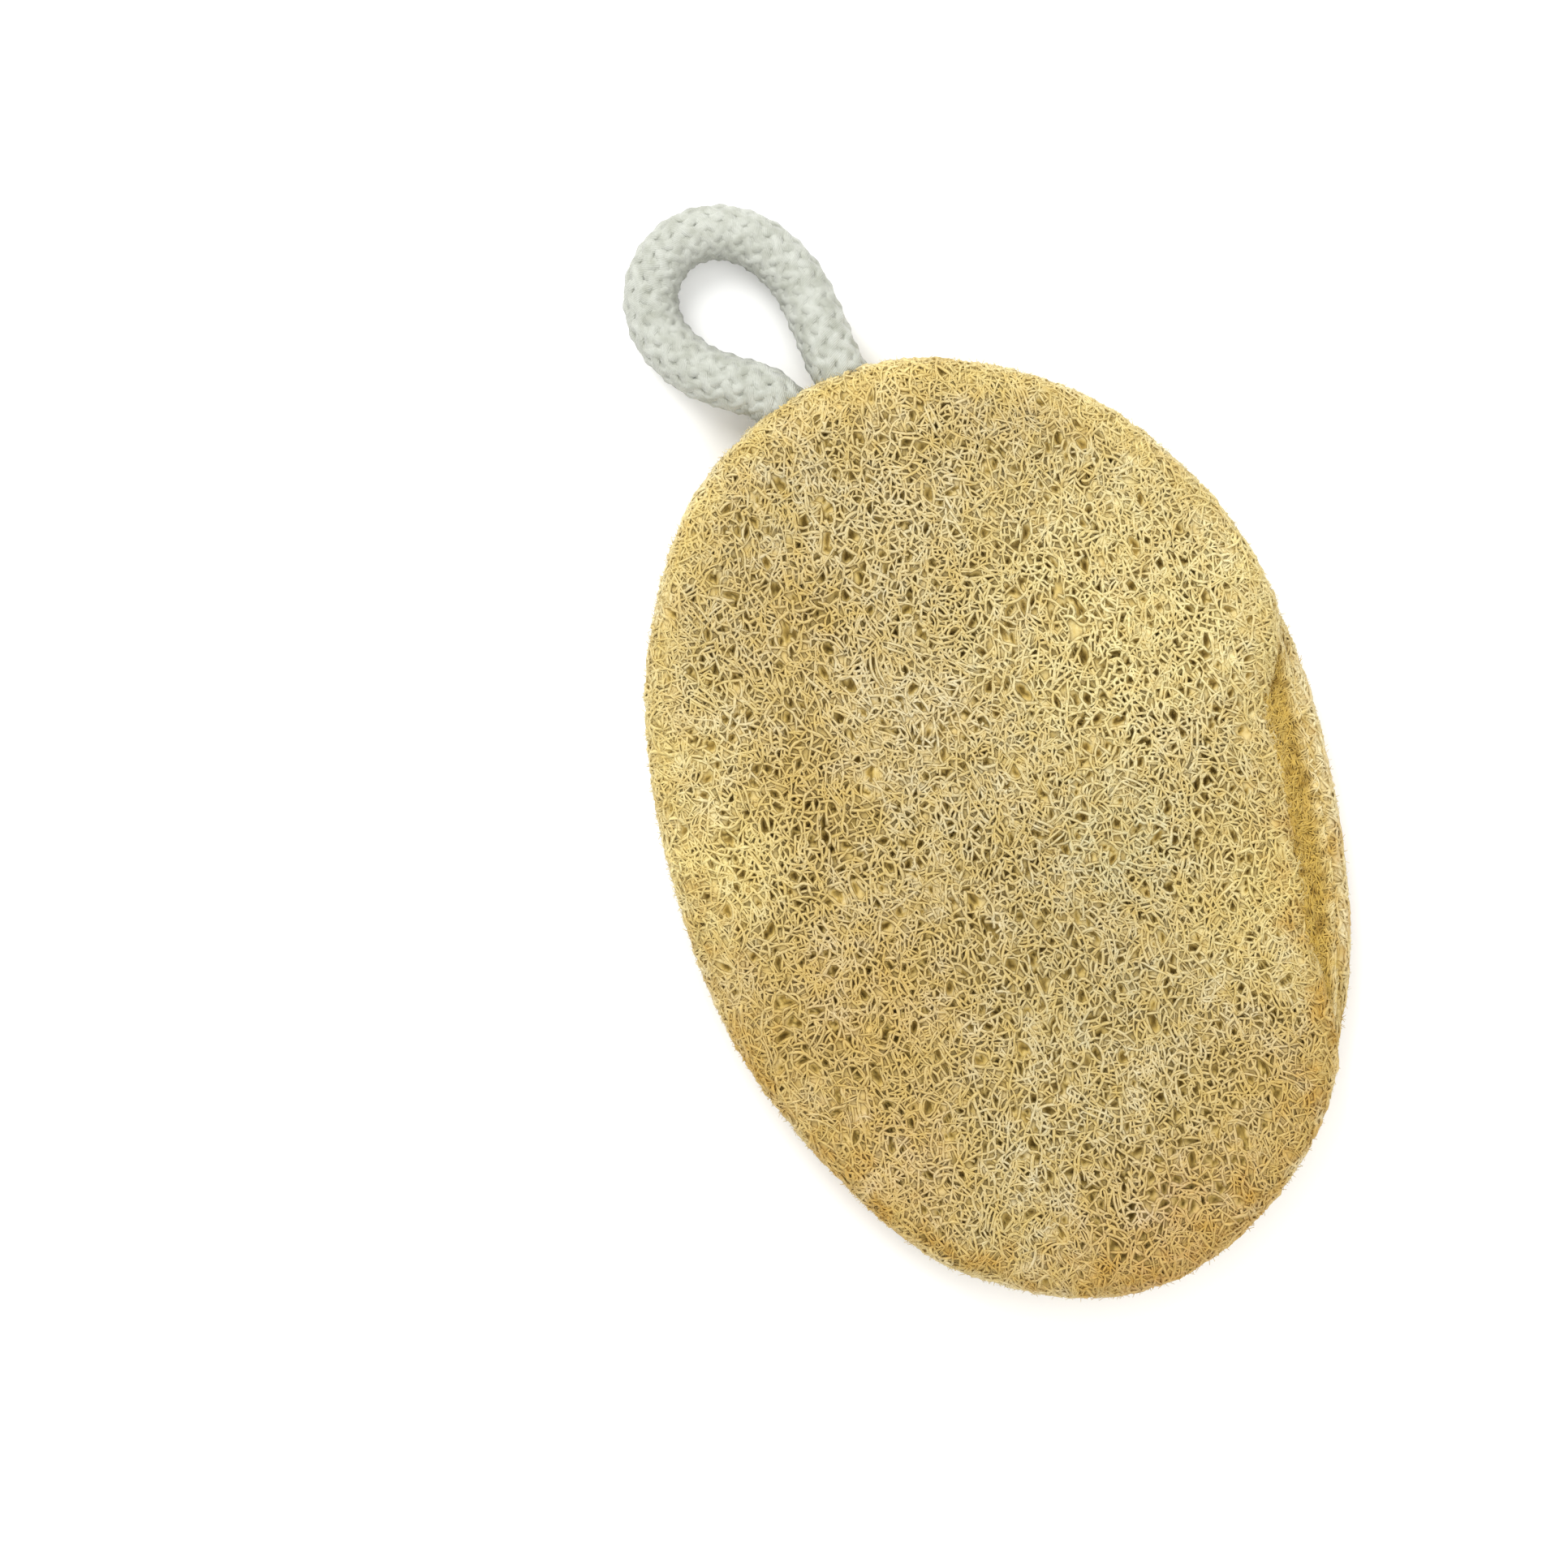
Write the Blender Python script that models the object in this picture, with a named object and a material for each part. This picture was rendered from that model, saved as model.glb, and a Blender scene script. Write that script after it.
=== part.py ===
"""A natural loofah sponge: an oval pad sewn from two loofah layers, with a cotton rope loop.

The pad lies flat with its front up. +Y runs along its length to the loop, and the origin
is on the surface that it lies on, under the middle of the pad. All values are in metres.
"""

import math
import random

import bmesh
import bpy
from mathutils import Vector, noise
from mathutils.geometry import delaunay_2d_cdt

MM = 0.001
TOLERANCE = 0.01 * MM

# The oval: its radius every 22.5 degrees, anticlockwise from +X, about its middle
OUTLINE = [
    r * MM
    for r in (50.7, 54.2, 61.0, 68.5, 73.4, 70.1, 61.2, 54.0,
              51.4, 53.7, 59.4, 69.5, 74.8, 69.1, 59.0, 52.2)
]  # fmt: skip
OUTLINE_MIDDLE = (-0.23 * MM, -0.27 * MM)

# The two layers meet at the parting plane, each half a touching gap of 0.3 mm away from it
PARTING_Z = 8.0 * MM

# The rolled rim of each layer, from the seam to the flat: inset from the outline, and height
# above the parting plane, or below it on the back layer
FRONT_RIM = [
    (i * MM, h * MM)
    for i, h in ((1.4, 0.15), (0.5, 1.4), (0.0, 3.1), (0.5, 5.1), (2.4, 6.9), (5.6, 7.7), (9.2, 8.0))
]
BACK_RIM_PLAIN = [
    (i * MM, h * MM)
    for i, h in ((1.4, 0.15), (1.0, 0.7), (0.6, 1.4), (0.3, 2.2), (0.2, 3.2),
                 (0.7, 5.0), (2.6, 6.5), (5.8, 7.2), (9.5, 7.4))
]  # fmt: skip
# Where the back layer is the wider one, its rim turns up past the seam into a lip
BACK_RIM_LIPPED = [
    (i * MM, h * MM)
    for i, h in ((4.0, 0.15), (3.8, -1.6), (2.3, -2.9), (0.7, -1.9), (0.0, 0.6),
                 (0.3, 3.6), (2.4, 6.2), (5.8, 7.2), (9.5, 7.4))
]  # fmt: skip
# The front layer is this much narrower along the lip
LIP_WIDTH = 6.8 * MM
# The lip runs clockwise between these angles, and fades in and out over LIP_FADE
LIP_START, LIP_END, LIP_FADE = math.radians(14), math.radians(-46), math.radians(20)

# Soft hills and dips of the front: (x, y, reach, height)
FRONT_HILLS = [
    (x * MM, y * MM, reach * MM, height * MM)
    for x, y, reach, height in (
        (0, 0, 46, 1.2), (-26, 34, 11, -1.1), (-18, 41, 8, -0.5), (17, 49, 10, -0.9),
        (-1, -21, 11, -1.0), (-31, -40, 12, -1.1), (-9, 45, 7, 0.6), (12, 2, 10, 0.6),
        (8, -46, 11, 0.7), (24, -24, 12, -0.5), (27, 22, 12, 0.5), (-12, 68, 9, 1.2), (-3, 68, 9, 0.9),
    )
]  # fmt: skip
# The underside swells most under its weight, and is pressed flat where it touches
BACK_HILLS = [
    (x * MM, y * MM, reach * MM, height * MM)
    for x, y, reach, height in (
        (0, 0, 30, 1.05), (-24, 32, 12, -0.5), (22, 38, 12, -0.4), (25, -30, 13, -0.6), (-26, -28, 12, -0.5),
        (-12, 68, 9, 0.6), (-3, 68, 9, 0.6),
    )
]  # fmt: skip
RIPPLE, RIPPLE_PITCH, RIPPLE_SEED = 0.45 * MM, 17 * MM, 3.7
# Hills start this far in from the seam, and are whole at the second value
HILLS_FROM, HILLS_WHOLE = 5 * MM, 13 * MM

# The raised net, larger than life: the pitch of its strands' knots, and its hollows
NET_PITCH = 5.9 * MM
NET_JITTER, ROW_JITTER = 0.30, 0.18
NET_SEED = 15
SEAM_KNOTS = 70
BLANK_REACH = 95 * MM
# The triangulation's option that keeps only what lies inside the rings of knots
INSIDE_RINGS = 1
# Rows of knots along the rim, as shares of its rolled width
FRONT_ROWS = (0.0, 0.21, 0.45)
BACK_ROWS = (0.0, 0.17, 0.375, 0.59)
# The scattered field keeps this share of the pitch clear of the last row
ROW_CLEARANCE = 0.62
# The share of triangles joined in pairs, and the least turn, as a sine, at a pair's corners
PAIRED_SHARE, LEAST_TURN = 0.8, 0.35
HOLLOW_DEPTH = 1.35 * MM
# Each zone's hollows: half the width of a strand, and the depth. They are shallower on the
# rolled rim and where the layers are stretched over the rope, and slight on the thin lip
HOLLOWS = (
    ("field", 0.85 * MM, HOLLOW_DEPTH),
    ("rope", 0.7 * MM, 0.5 * MM),
    ("rim", 0.5 * MM, 0.65 * MM),
    ("lip", 0.6 * MM, 0.25 * MM),
)
# A cell is slim when its inscribed circle is under this many half widths, and is then scaled down
SLIM, SLIM_SCALE = 1.5, 0.55
# Shares of the rolled width: where the rim and the lip end, and how far a row strays
RIM_SHARE, LIP_ROW, ROW_SPREAD = 0.62, 0.4, 0.05
# Where the back is pressed flat, the strands have flat tops and sloping walls
REST_STRAND_HALF_WIDTH, REST_WALL = 0.55 * MM, 0.3 * MM

# The rope loop lies on the surface, with both ends in the seam: (x, y) along its middle
ROPE_DIAMETER = 8.5 * MM
ROPE_ROUTE = [
    (x * MM, y * MM)
    for x, y in ((-1.2, 66.4), (-1.9, 71.0), (-2.9, 76.2), (-3.4, 83.3), (-4.6, 90.6), (-8.4, 97.2),
                 (-14.2, 100.9), (-20.8, 100.6), (-26.0, 95.9), (-27.1, 88.9), (-23.9, 82.2),
                 (-19.2, 78.0), (-15.2, 75.3), (-12.8, 72.0), (-11.9, 68.6), (-11.6, 66.0))
]  # fmt: skip
# It leaves the seam at the parting plane and sags to the surface over this distance
ROPE_SAG_REACH = 21 * MM
ROPE_SAG_START_Y = 73 * MM
ROPE_POINTS = 34
ROPE_SOCKET_GAP = 0.35 * MM

# The sewing thread runs in the notch of the seam, from one side of the rope to the other
THREAD_DIAMETER = 0.8 * MM
THREAD_INSET_PLAIN, THREAD_INSET_LIPPED = 0.7 * MM, 6.95 * MM
THREAD_LIFT_LIPPED = 0.62 * MM
# It is up on the back layer's ledge soon after the lip starts: the power of its rise
THREAD_RISE = 5
THREAD_START, THREAD_END = math.radians(105), math.radians(87 + 360)
THREAD_POINTS = 100


def smooth_step(low, high, value):
    """0 below low, 1 above high, and a smooth change between them."""
    t = min(1.0, max(0.0, (value - low) / (high - low)))
    return t * t * (3 - 2 * t)


def through(points, t):
    """The point at t on the smooth curve that passes through each of points, one per unit of t."""
    last = len(points) - 1
    i = min(int(t), last - 1)
    f = t - i
    a, b, c, d = (points[min(max(i + k, 0), last)] for k in (-1, 0, 1, 2))
    return [
        q + 0.5 * f * (r - p + f * (2 * p - 5 * q + 4 * r - s + f * (3 * (q - r) + s - p)))
        for p, q, r, s in zip(a, b, c, d)
    ]


def outline_radius(angle):
    """The oval's radius at an angle, on the smooth closed curve through OUTLINE."""
    count = len(OUTLINE)
    t = angle / (2 * math.pi) * count % count
    i = int(t)
    near = [[OUTLINE[(i + k) % count]] for k in (-1, 0, 1, 2)]
    return through(near, 1 + t - i)[0]


def lip_share(angle):
    """1 where the back layer has its whole lip, 0 where it has none."""
    middle = (LIP_START + LIP_END) / 2
    away = abs((angle - middle + math.pi) % (2 * math.pi) - math.pi)
    half = (LIP_START - LIP_END) / 2
    return 1 - smooth_step(half - LIP_FADE / 2, half + LIP_FADE / 2, away)


class Layer:
    """One loofah layer: its rim's section at each angle, its hills, and which way it faces."""

    def __init__(self, name, side, rows, hills):
        self.name, self.side, self.rows, self.hills = name, side, rows, hills

    def rim(self, angle):
        """The rim's section at an angle, as (inset, height) points from the seam inwards."""
        share = lip_share(angle)
        if self.side > 0:
            return [(inset + share * LIP_WIDTH, height) for inset, height in FRONT_RIM]
        return [
            (a + share * (c - a), b + share * (d - b))
            for (a, b), (c, d) in zip(BACK_RIM_PLAIN, BACK_RIM_LIPPED)
        ]

    def rim_length(self, angle):
        points = self.rim(angle)
        return sum(math.dist(p, q) for p, q in zip(points, points[1:]))

    def flat_radius(self, angle):
        """The radius of the layer's flattened blank, with its rim rolled out."""
        return outline_radius(angle) - self.rim(angle)[-1][0] + self.rim_length(angle)

    def rim_share(self, flat):
        """How far a point of the blank is from the seam, as a share of the rim's width."""
        angle = math.atan2(flat[1], flat[0])
        return (self.flat_radius(angle) - math.hypot(flat[0], flat[1])) / self.rim_length(angle)

    def zone(self, share, place):
        """The zone of a cell of the net. At the socket's mouth a cell has none, and stays whole."""
        if near_rope(place):
            return "mouth" if share < RIM_SHARE else "rope"
        if self.side < 0 and share < LIP_ROW and lip_share(math.atan2(place.y, place.x)) > 0.1:
            return "lip"
        return "rim" if share < RIM_SHARE else "field"

    def relief(self, x, y):
        """How far the hills and ripples lift the surface at a place."""
        lift = sum(
            height * math.exp(-((x - hx) ** 2 + (y - hy) ** 2) / reach**2)
            for hx, hy, reach, height in self.hills
        )
        ripple = noise.noise((x / RIPPLE_PITCH, y / RIPPLE_PITCH, RIPPLE_SEED * self.side))
        return lift + RIPPLE * ripple

    def folded(self, flat):
        """The place on the finished layer of a point of its flattened blank."""
        angle = math.atan2(flat[1], flat[0])
        from_seam = self.flat_radius(angle) - math.hypot(*flat)
        points = self.rim(angle)
        inset, height = points[-1]
        left = max(0.0, from_seam)
        for p, q in zip(points, points[1:]):
            step = math.dist(p, q)
            if left < step:
                inset, height = (a + (b - a) * left / step for a, b in zip(p, q))
                break
            left -= step
        else:
            inset += left
        radius = outline_radius(angle) - inset
        x, y = radius * math.cos(angle), radius * math.sin(angle)
        height += smooth_step(HILLS_FROM, HILLS_WHOLE, from_seam) * self.relief(x, y)
        if self.side < 0:
            height = min(height, PARTING_Z)
        return Vector((x - OUTLINE_MIDDLE[0], y - OUTLINE_MIDDLE[1], PARTING_Z + self.side * height))


def net_knots(layer, draw):
    """The knots of the net on the flattened blank: rows along the rim, then a scattered field."""
    knots = []
    for row, share in enumerate(layer.rows):
        for k in range(SEAM_KNOTS):
            shift = 0.5 * (row % 2) + (draw.uniform(-ROW_JITTER, ROW_JITTER) if row else 0)
            angle = 2 * math.pi * (k + shift) / SEAM_KNOTS
            radius = layer.flat_radius(angle) - share * layer.rim_length(angle)
            knots.append((radius * math.cos(angle), radius * math.sin(angle)))
    step = NET_PITCH * math.sqrt(3) / 2
    reach = int(BLANK_REACH / step)
    for j in range(-reach, reach + 1):
        for i in range(-reach, reach + 1):
            x = (i + 0.5 * (j % 2) + NET_JITTER * draw.uniform(-1, 1)) * NET_PITCH
            y = (j + NET_JITTER * draw.uniform(-1, 1)) * step
            angle = math.atan2(y, x)
            rim = layer.rows[-1] * layer.rim_length(angle)
            if math.hypot(x, y) < layer.flat_radius(angle) - rim - ROW_CLEARANCE * NET_PITCH:
                knots.append((x, y))
    return knots


def is_plump(corners):
    """Whether the four corners make a quad that bulges at each of them."""
    for i in range(4):
        a, b, c = (corners[(i + k) % 4] for k in range(3))
        turn = (b - a).cross(c - b).z
        if turn < LEAST_TURN * (b - a).length * (c - b).length:
            return False
    return True


def along_rim(layer, edge):
    """Whether an edge of the blank runs along one of the rows, where the rim bends."""
    shares = [layer.rim_share(vert.co * MM) for vert in edge.verts]
    return max(shares) < RIM_SHARE and abs(shares[0] - shares[1]) < ROW_SPREAD


def pair_triangles(net, layer, draw):
    """Most neighbouring triangles joined into quads, so that the net's hollows are of many shapes."""
    edges = [edge for edge in net.edges if len(edge.link_faces) == 2]
    draw.shuffle(edges)
    taken, joined = set(), []
    for edge in edges:
        first, second = edge.link_faces
        if first in taken or second in taken or draw.random() > PAIRED_SHARE or along_rim(layer, edge):
            continue
        start, end = edge.link_loops[0].vert, edge.link_loops[0].link_loop_next.vert
        left = edge.link_loops[0].link_loop_prev.vert
        right = edge.link_loops[1].link_loop_prev.vert
        if is_plump([start.co, right.co, end.co, left.co]):
            taken.update((first, second))
            joined.append(edge)
    bmesh.ops.dissolve_edges(net, edges=joined)


def near_rope(point):
    """Whether a place on the layer is over the rope's ends."""
    ends = ROPE_ROUTE[:3] + ROPE_ROUTE[-4:]
    return min(math.dist(point[:2], end) for end in ends) < ROPE_DIAMETER


def sink(net, faces, half_width, depth):
    """Each face inset by half a strand's width and pushed in, less so where it is slim."""
    is_slim = [2 * f.calc_area() / f.calc_perimeter() < SLIM * half_width for f in faces]
    for slim, scale in ((False, 1), (True, SLIM_SCALE)):
        bmesh.ops.inset_individual(
            net,
            faces=[f for f, here in zip(faces, is_slim) if here == slim],
            thickness=half_width * scale,
            depth=-depth * scale,
            use_even_offset=True,
        )


def new_object(name, mesh, colour, roughness):
    """An object in the scene, with a material of its own."""
    material = bpy.data.materials.new(name + "_material")
    material.use_nodes = True
    surface = material.node_tree.nodes["Principled BSDF"]
    surface.inputs["Base Color"].default_value = (*colour, 1)
    surface.inputs["Roughness"].default_value = roughness
    surface.inputs["Metallic"].default_value = 0.0
    mesh.materials.append(material)
    made = bpy.data.objects.new(name, mesh)
    bpy.context.collection.objects.link(made)
    return made


def make_layer(layer, colour):
    """One layer as a closed solid: the raised net outside, and a plain face inside."""
    draw = random.Random(NET_SEED + layer.side)
    knots = net_knots(layer, draw)
    in_mm = [Vector(knot) / MM for knot in knots]
    rings = [
        (first + k, first + (k + 1) % SEAM_KNOTS)
        for first in range(0, len(layer.rows) * SEAM_KNOTS, SEAM_KNOTS)
        for k in range(SEAM_KNOTS)
    ]
    places, _, triangles = delaunay_2d_cdt(in_mm, rings, [], INSIDE_RINGS, TOLERANCE / MM)[:3]
    net = bmesh.new()
    corners = [net.verts.new((place.x, place.y, 0)) for place in places]
    for triangle in triangles:
        net.faces.new([corners[i] for i in triangle])
    net.normal_update()
    pair_triangles(net, layer, draw)
    shares = {f: layer.rim_share(f.calc_center_median() * MM) for f in net.faces}
    for vert in net.verts:
        vert.co = layer.folded((vert.co.x * MM, vert.co.y * MM))
    if layer.side < 0:
        bmesh.ops.reverse_faces(net, faces=net.faces)
    net.normal_update()
    resting = [f for f in net.faces if all(v.co.z < TOLERANCE for v in f.verts)]
    zones = {f: layer.zone(shares[f], f.calc_center_median()) for f in net.faces if f not in resting}
    for zone, half_width, depth in HOLLOWS:
        sink(net, [f for f in zones if zones[f] == zone], half_width, depth)
    sink(net, resting, REST_STRAND_HALF_WIDTH, 0)
    sink(net, resting, REST_WALL, HOLLOW_DEPTH)
    seam = {vert for edge in net.edges if edge.is_boundary for vert in edge.verts}
    net.faces.new(sorted(seam, key=lambda vert: math.atan2(vert.co.y, vert.co.x)))
    bmesh.ops.recalc_face_normals(net, faces=net.faces)
    bmesh.ops.triangulate(net, faces=net.faces)
    mesh = bpy.data.meshes.new(layer.name)
    net.to_mesh(mesh)
    net.free()
    return new_object(layer.name, mesh, colour, 0.95)


def curve_tube(name, points, radius, sides_each_quarter):
    """A closed tube along points, as a curve with filled ends."""
    curve = bpy.data.curves.new(name, "CURVE")
    curve.dimensions = "3D"
    curve.bevel_depth = radius
    curve.bevel_resolution = sides_each_quarter
    curve.use_fill_caps = True
    spline = curve.splines.new("POLY")
    spline.points.add(len(points) - 1)
    for spot, place in zip(spline.points, points):
        spot.co = (*place, 1)
    spline.use_smooth = True
    return curve


def rope_height(y):
    """The height of the rope's middle: the parting plane in the seam, then down to the surface."""
    fallen = smooth_step(ROPE_SAG_START_Y, ROPE_SAG_START_Y + ROPE_SAG_REACH, y)
    return PARTING_Z + fallen * (ROPE_DIAMETER / 2 - PARTING_Z)


def rope_points():
    """Even steps along the smooth curve through the rope's route."""
    last = len(ROPE_ROUTE) - 1
    flat = [through(ROPE_ROUTE, last * k / (ROPE_POINTS - 1)) for k in range(ROPE_POINTS)]
    return [Vector((x, y, rope_height(y))) for x, y in flat]


def make_rope():
    """The rope loop, one plain tube with both ends in the seam."""
    curve = curve_tube("rope_loop", rope_points(), ROPE_DIAMETER / 2, 4)
    return new_object("rope_loop", curve, (0.63, 0.64, 0.57), 0.9)


def make_socket():
    """The cutter of the rope's socket: the rope again, a little thicker and longer."""
    points = rope_points()
    longer = ROPE_SOCKET_GAP
    points[0] += (points[0] - points[1]).normalized() * longer
    points[-1] += (points[-1] - points[-2]).normalized() * longer
    curve = curve_tube("rope_socket_curve", points, ROPE_DIAMETER / 2 + ROPE_SOCKET_GAP, 4)
    guide = bpy.data.objects.new("rope_socket_curve", curve)
    bpy.context.collection.objects.link(guide)
    bpy.context.view_layer.update()
    mesh = bpy.data.meshes.new_from_object(guide.evaluated_get(bpy.context.evaluated_depsgraph_get()))
    bpy.data.objects.remove(guide)
    closing = bmesh.new()
    closing.from_mesh(mesh)
    bmesh.ops.remove_doubles(closing, verts=closing.verts, dist=TOLERANCE)
    bmesh.ops.recalc_face_normals(closing, faces=closing.faces)
    closing.to_mesh(mesh)
    closing.free()
    cutter = bpy.data.objects.new("rope_socket", mesh)
    bpy.context.collection.objects.link(cutter)
    cutter.hide_render = True
    cutter.display_type = "WIRE"
    return cutter


def make_thread():
    """The sewing thread in the notch between the layers."""
    points = []
    for k in range(THREAD_POINTS):
        angle = THREAD_START + (THREAD_END - THREAD_START) * k / (THREAD_POINTS - 1)
        share = lip_share(angle)
        inset = THREAD_INSET_PLAIN + share * (THREAD_INSET_LIPPED - THREAD_INSET_PLAIN)
        radius = outline_radius(angle) - inset
        x = radius * math.cos(angle) - OUTLINE_MIDDLE[0]
        y = radius * math.sin(angle) - OUTLINE_MIDDLE[1]
        lift = THREAD_LIFT_LIPPED * (1 - (1 - share) ** THREAD_RISE)
        points.append(Vector((x, y, PARTING_Z + lift)))
    curve = curve_tube("seam_thread", points, THREAD_DIAMETER / 2, 1)
    return new_object("seam_thread", curve, (0.56, 0.42, 0.16), 0.8)


def main():
    """Builds the pad's two layers, the rope loop and the thread that closes the seam."""
    for old in list(bpy.data.objects):
        bpy.data.objects.remove(old)
    front = make_layer(Layer("loofah_front_layer", 1, FRONT_ROWS, FRONT_HILLS), (0.60, 0.46, 0.19))
    back = make_layer(Layer("loofah_back_layer", -1, BACK_ROWS, BACK_HILLS), (0.56, 0.42, 0.17))
    make_rope()
    socket = make_socket()
    for layer in (front, back):
        cut = layer.modifiers.new("rope_socket", "BOOLEAN")
        cut.object = socket
        cut.operation = "DIFFERENCE"
        cut.solver = "EXACT"
    make_thread()


main()
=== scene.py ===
"""A natural loofah sponge, dressed: two mats of dried loofah fibre, a braided cotton rope loop,
the seam's thread, a plain floor, soft light and a camera that looks straight down.

The pad's own sizes are in millimetres, and every finished mesh is in metres.
"""

import logging
import math
from dataclasses import dataclass, field, replace
from enum import Enum

import bpy
import numpy as np
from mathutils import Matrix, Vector, noise
from mathutils.geometry import delaunay_2d_cdt


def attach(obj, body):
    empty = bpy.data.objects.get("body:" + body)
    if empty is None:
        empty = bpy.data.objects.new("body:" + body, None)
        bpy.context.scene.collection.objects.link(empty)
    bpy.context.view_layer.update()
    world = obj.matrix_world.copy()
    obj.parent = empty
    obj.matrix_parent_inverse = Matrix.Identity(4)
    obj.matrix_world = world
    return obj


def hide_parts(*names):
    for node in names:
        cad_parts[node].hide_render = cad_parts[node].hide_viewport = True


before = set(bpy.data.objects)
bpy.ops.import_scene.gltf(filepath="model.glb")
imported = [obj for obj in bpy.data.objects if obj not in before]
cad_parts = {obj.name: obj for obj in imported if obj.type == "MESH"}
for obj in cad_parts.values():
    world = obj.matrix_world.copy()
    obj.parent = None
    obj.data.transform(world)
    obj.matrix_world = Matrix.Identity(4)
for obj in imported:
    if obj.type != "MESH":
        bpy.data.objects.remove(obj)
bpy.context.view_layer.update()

MM = 0.001
TINY = 1e-6
WELD = 1e-7
BODY = "root"
LOG = logging.getLogger("loofah")

Key = int | str
Settings = dict[Key, object]
Socket = bpy.types.NodeSocket
Colour = tuple[float, float, float, float]


class Side(Enum):
    """Which way a layer of the pad faces."""

    FRONT = 1
    BACK = -1


class Section(Enum):
    """How many sides a fibre's section has."""

    THREE = 3
    FIVE = 5


def linear(colour: str) -> Colour:
    """Turns an sRGB hex colour into linear values.

    Args:
        colour: Six hex digits after a hash sign.

    Returns:
        Red, green, blue and a full alpha.
    """
    parts = [int(colour[i : i + 2], 16) / 255 for i in (1, 3, 5)]
    return (*((c / 12.92 if c <= 0.04045 else ((c + 0.055) / 1.055) ** 2.4) for c in parts), 1.0)


def smooth_step(low: float, high: float, value: np.ndarray) -> np.ndarray:
    """A smooth change from 0 to 1.

    Args:
        low: Below this value it is 0.
        high: Above this value it is 1.
        value: The values.

    Returns:
        One share for each value.
    """
    t = np.clip((value - low) / (high - low), 0, 1)
    return t * t * (3 - 2 * t)


def between(a: np.ndarray, b: np.ndarray, c: np.ndarray, d: np.ndarray, f: np.ndarray) -> np.ndarray:
    """The point at share f of the way from b to c, on the smooth curve through a, b, c and d."""
    return b + 0.5 * f * (c - a + f * (2 * a - 5 * b + 4 * c - d + f * (3 * (b - c) + d - a)))


def field_noise(points: np.ndarray, pitch: float, seed: float) -> np.ndarray:
    """Smooth noise from -1 to 1 over flat places.

    Args:
        points: The places, two numbers each.
        pitch: The size of the noise's features, in the unit of the places.
        seed: Which of many such patterns to take.

    Returns:
        One value for each place.
    """
    return np.array([noise.noise((x / pitch, y / pitch, seed)) for x, y in points])


def deselect() -> None:
    """Leaves nothing selected."""
    for each in bpy.context.selected_objects:
        each.select_set(False)


def pick(*things: bpy.types.Object) -> None:
    """Selects only these objects, and makes the first the active one."""
    deselect()
    for each in things:
        each.select_set(True)
    bpy.context.view_layer.objects.active = things[0]


def apply_modifier(thing: bpy.types.Object, kind: str, **settings: object) -> None:
    """Adds a modifier with its settings and applies it.

    Args:
        thing: The mesh object.
        kind: Blender's name of the modifier's type.
        settings: The modifier's values by name.
    """
    pick(thing)
    added = thing.modifiers.new(kind.lower(), kind)
    for name, value in settings.items():
        setattr(added, name, value)
    bpy.ops.object.modifier_apply(modifier=added.name)


def face_outwards(thing: bpy.types.Object, capped: bool = False) -> None:
    """Makes every face of a mesh point out.

    Args:
        thing: The mesh object.
        capped: Whether its open ends are closed first.
    """
    pick(thing)
    bpy.ops.object.mode_set(mode="EDIT")
    bpy.ops.mesh.select_all(action="SELECT")
    if capped:
        bpy.ops.mesh.fill_holes(sides=0)
    bpy.ops.mesh.normals_make_consistent(inside=False)
    bpy.ops.object.mode_set(mode="OBJECT")


def places_of(thing: bpy.types.Object) -> np.ndarray:
    """Where a mesh's vertices are.

    Args:
        thing: The mesh object.

    Returns:
        Three numbers for each vertex.
    """
    spots = np.zeros(len(thing.data.vertices) * 3)
    thing.data.vertices.foreach_get("co", spots)
    return spots.reshape(-1, 3)


def grid(columns: int, rows: int, size: float) -> bpy.types.Object:
    """Adds a flat square grid, the start of a felt.

    Args:
        columns: How many faces it has across.
        rows: How many faces it has along.
        size: Its side.

    Returns:
        The mesh object.
    """
    deselect()
    bpy.ops.mesh.primitive_grid_add(x_subdivisions=columns, y_subdivisions=rows, size=size)
    return bpy.context.object


def triangles_of(thing: bpy.types.Object) -> int:
    """How many triangles a mesh object has."""
    return sum(len(face.vertices) - 2 for face in thing.data.polygons)


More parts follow.
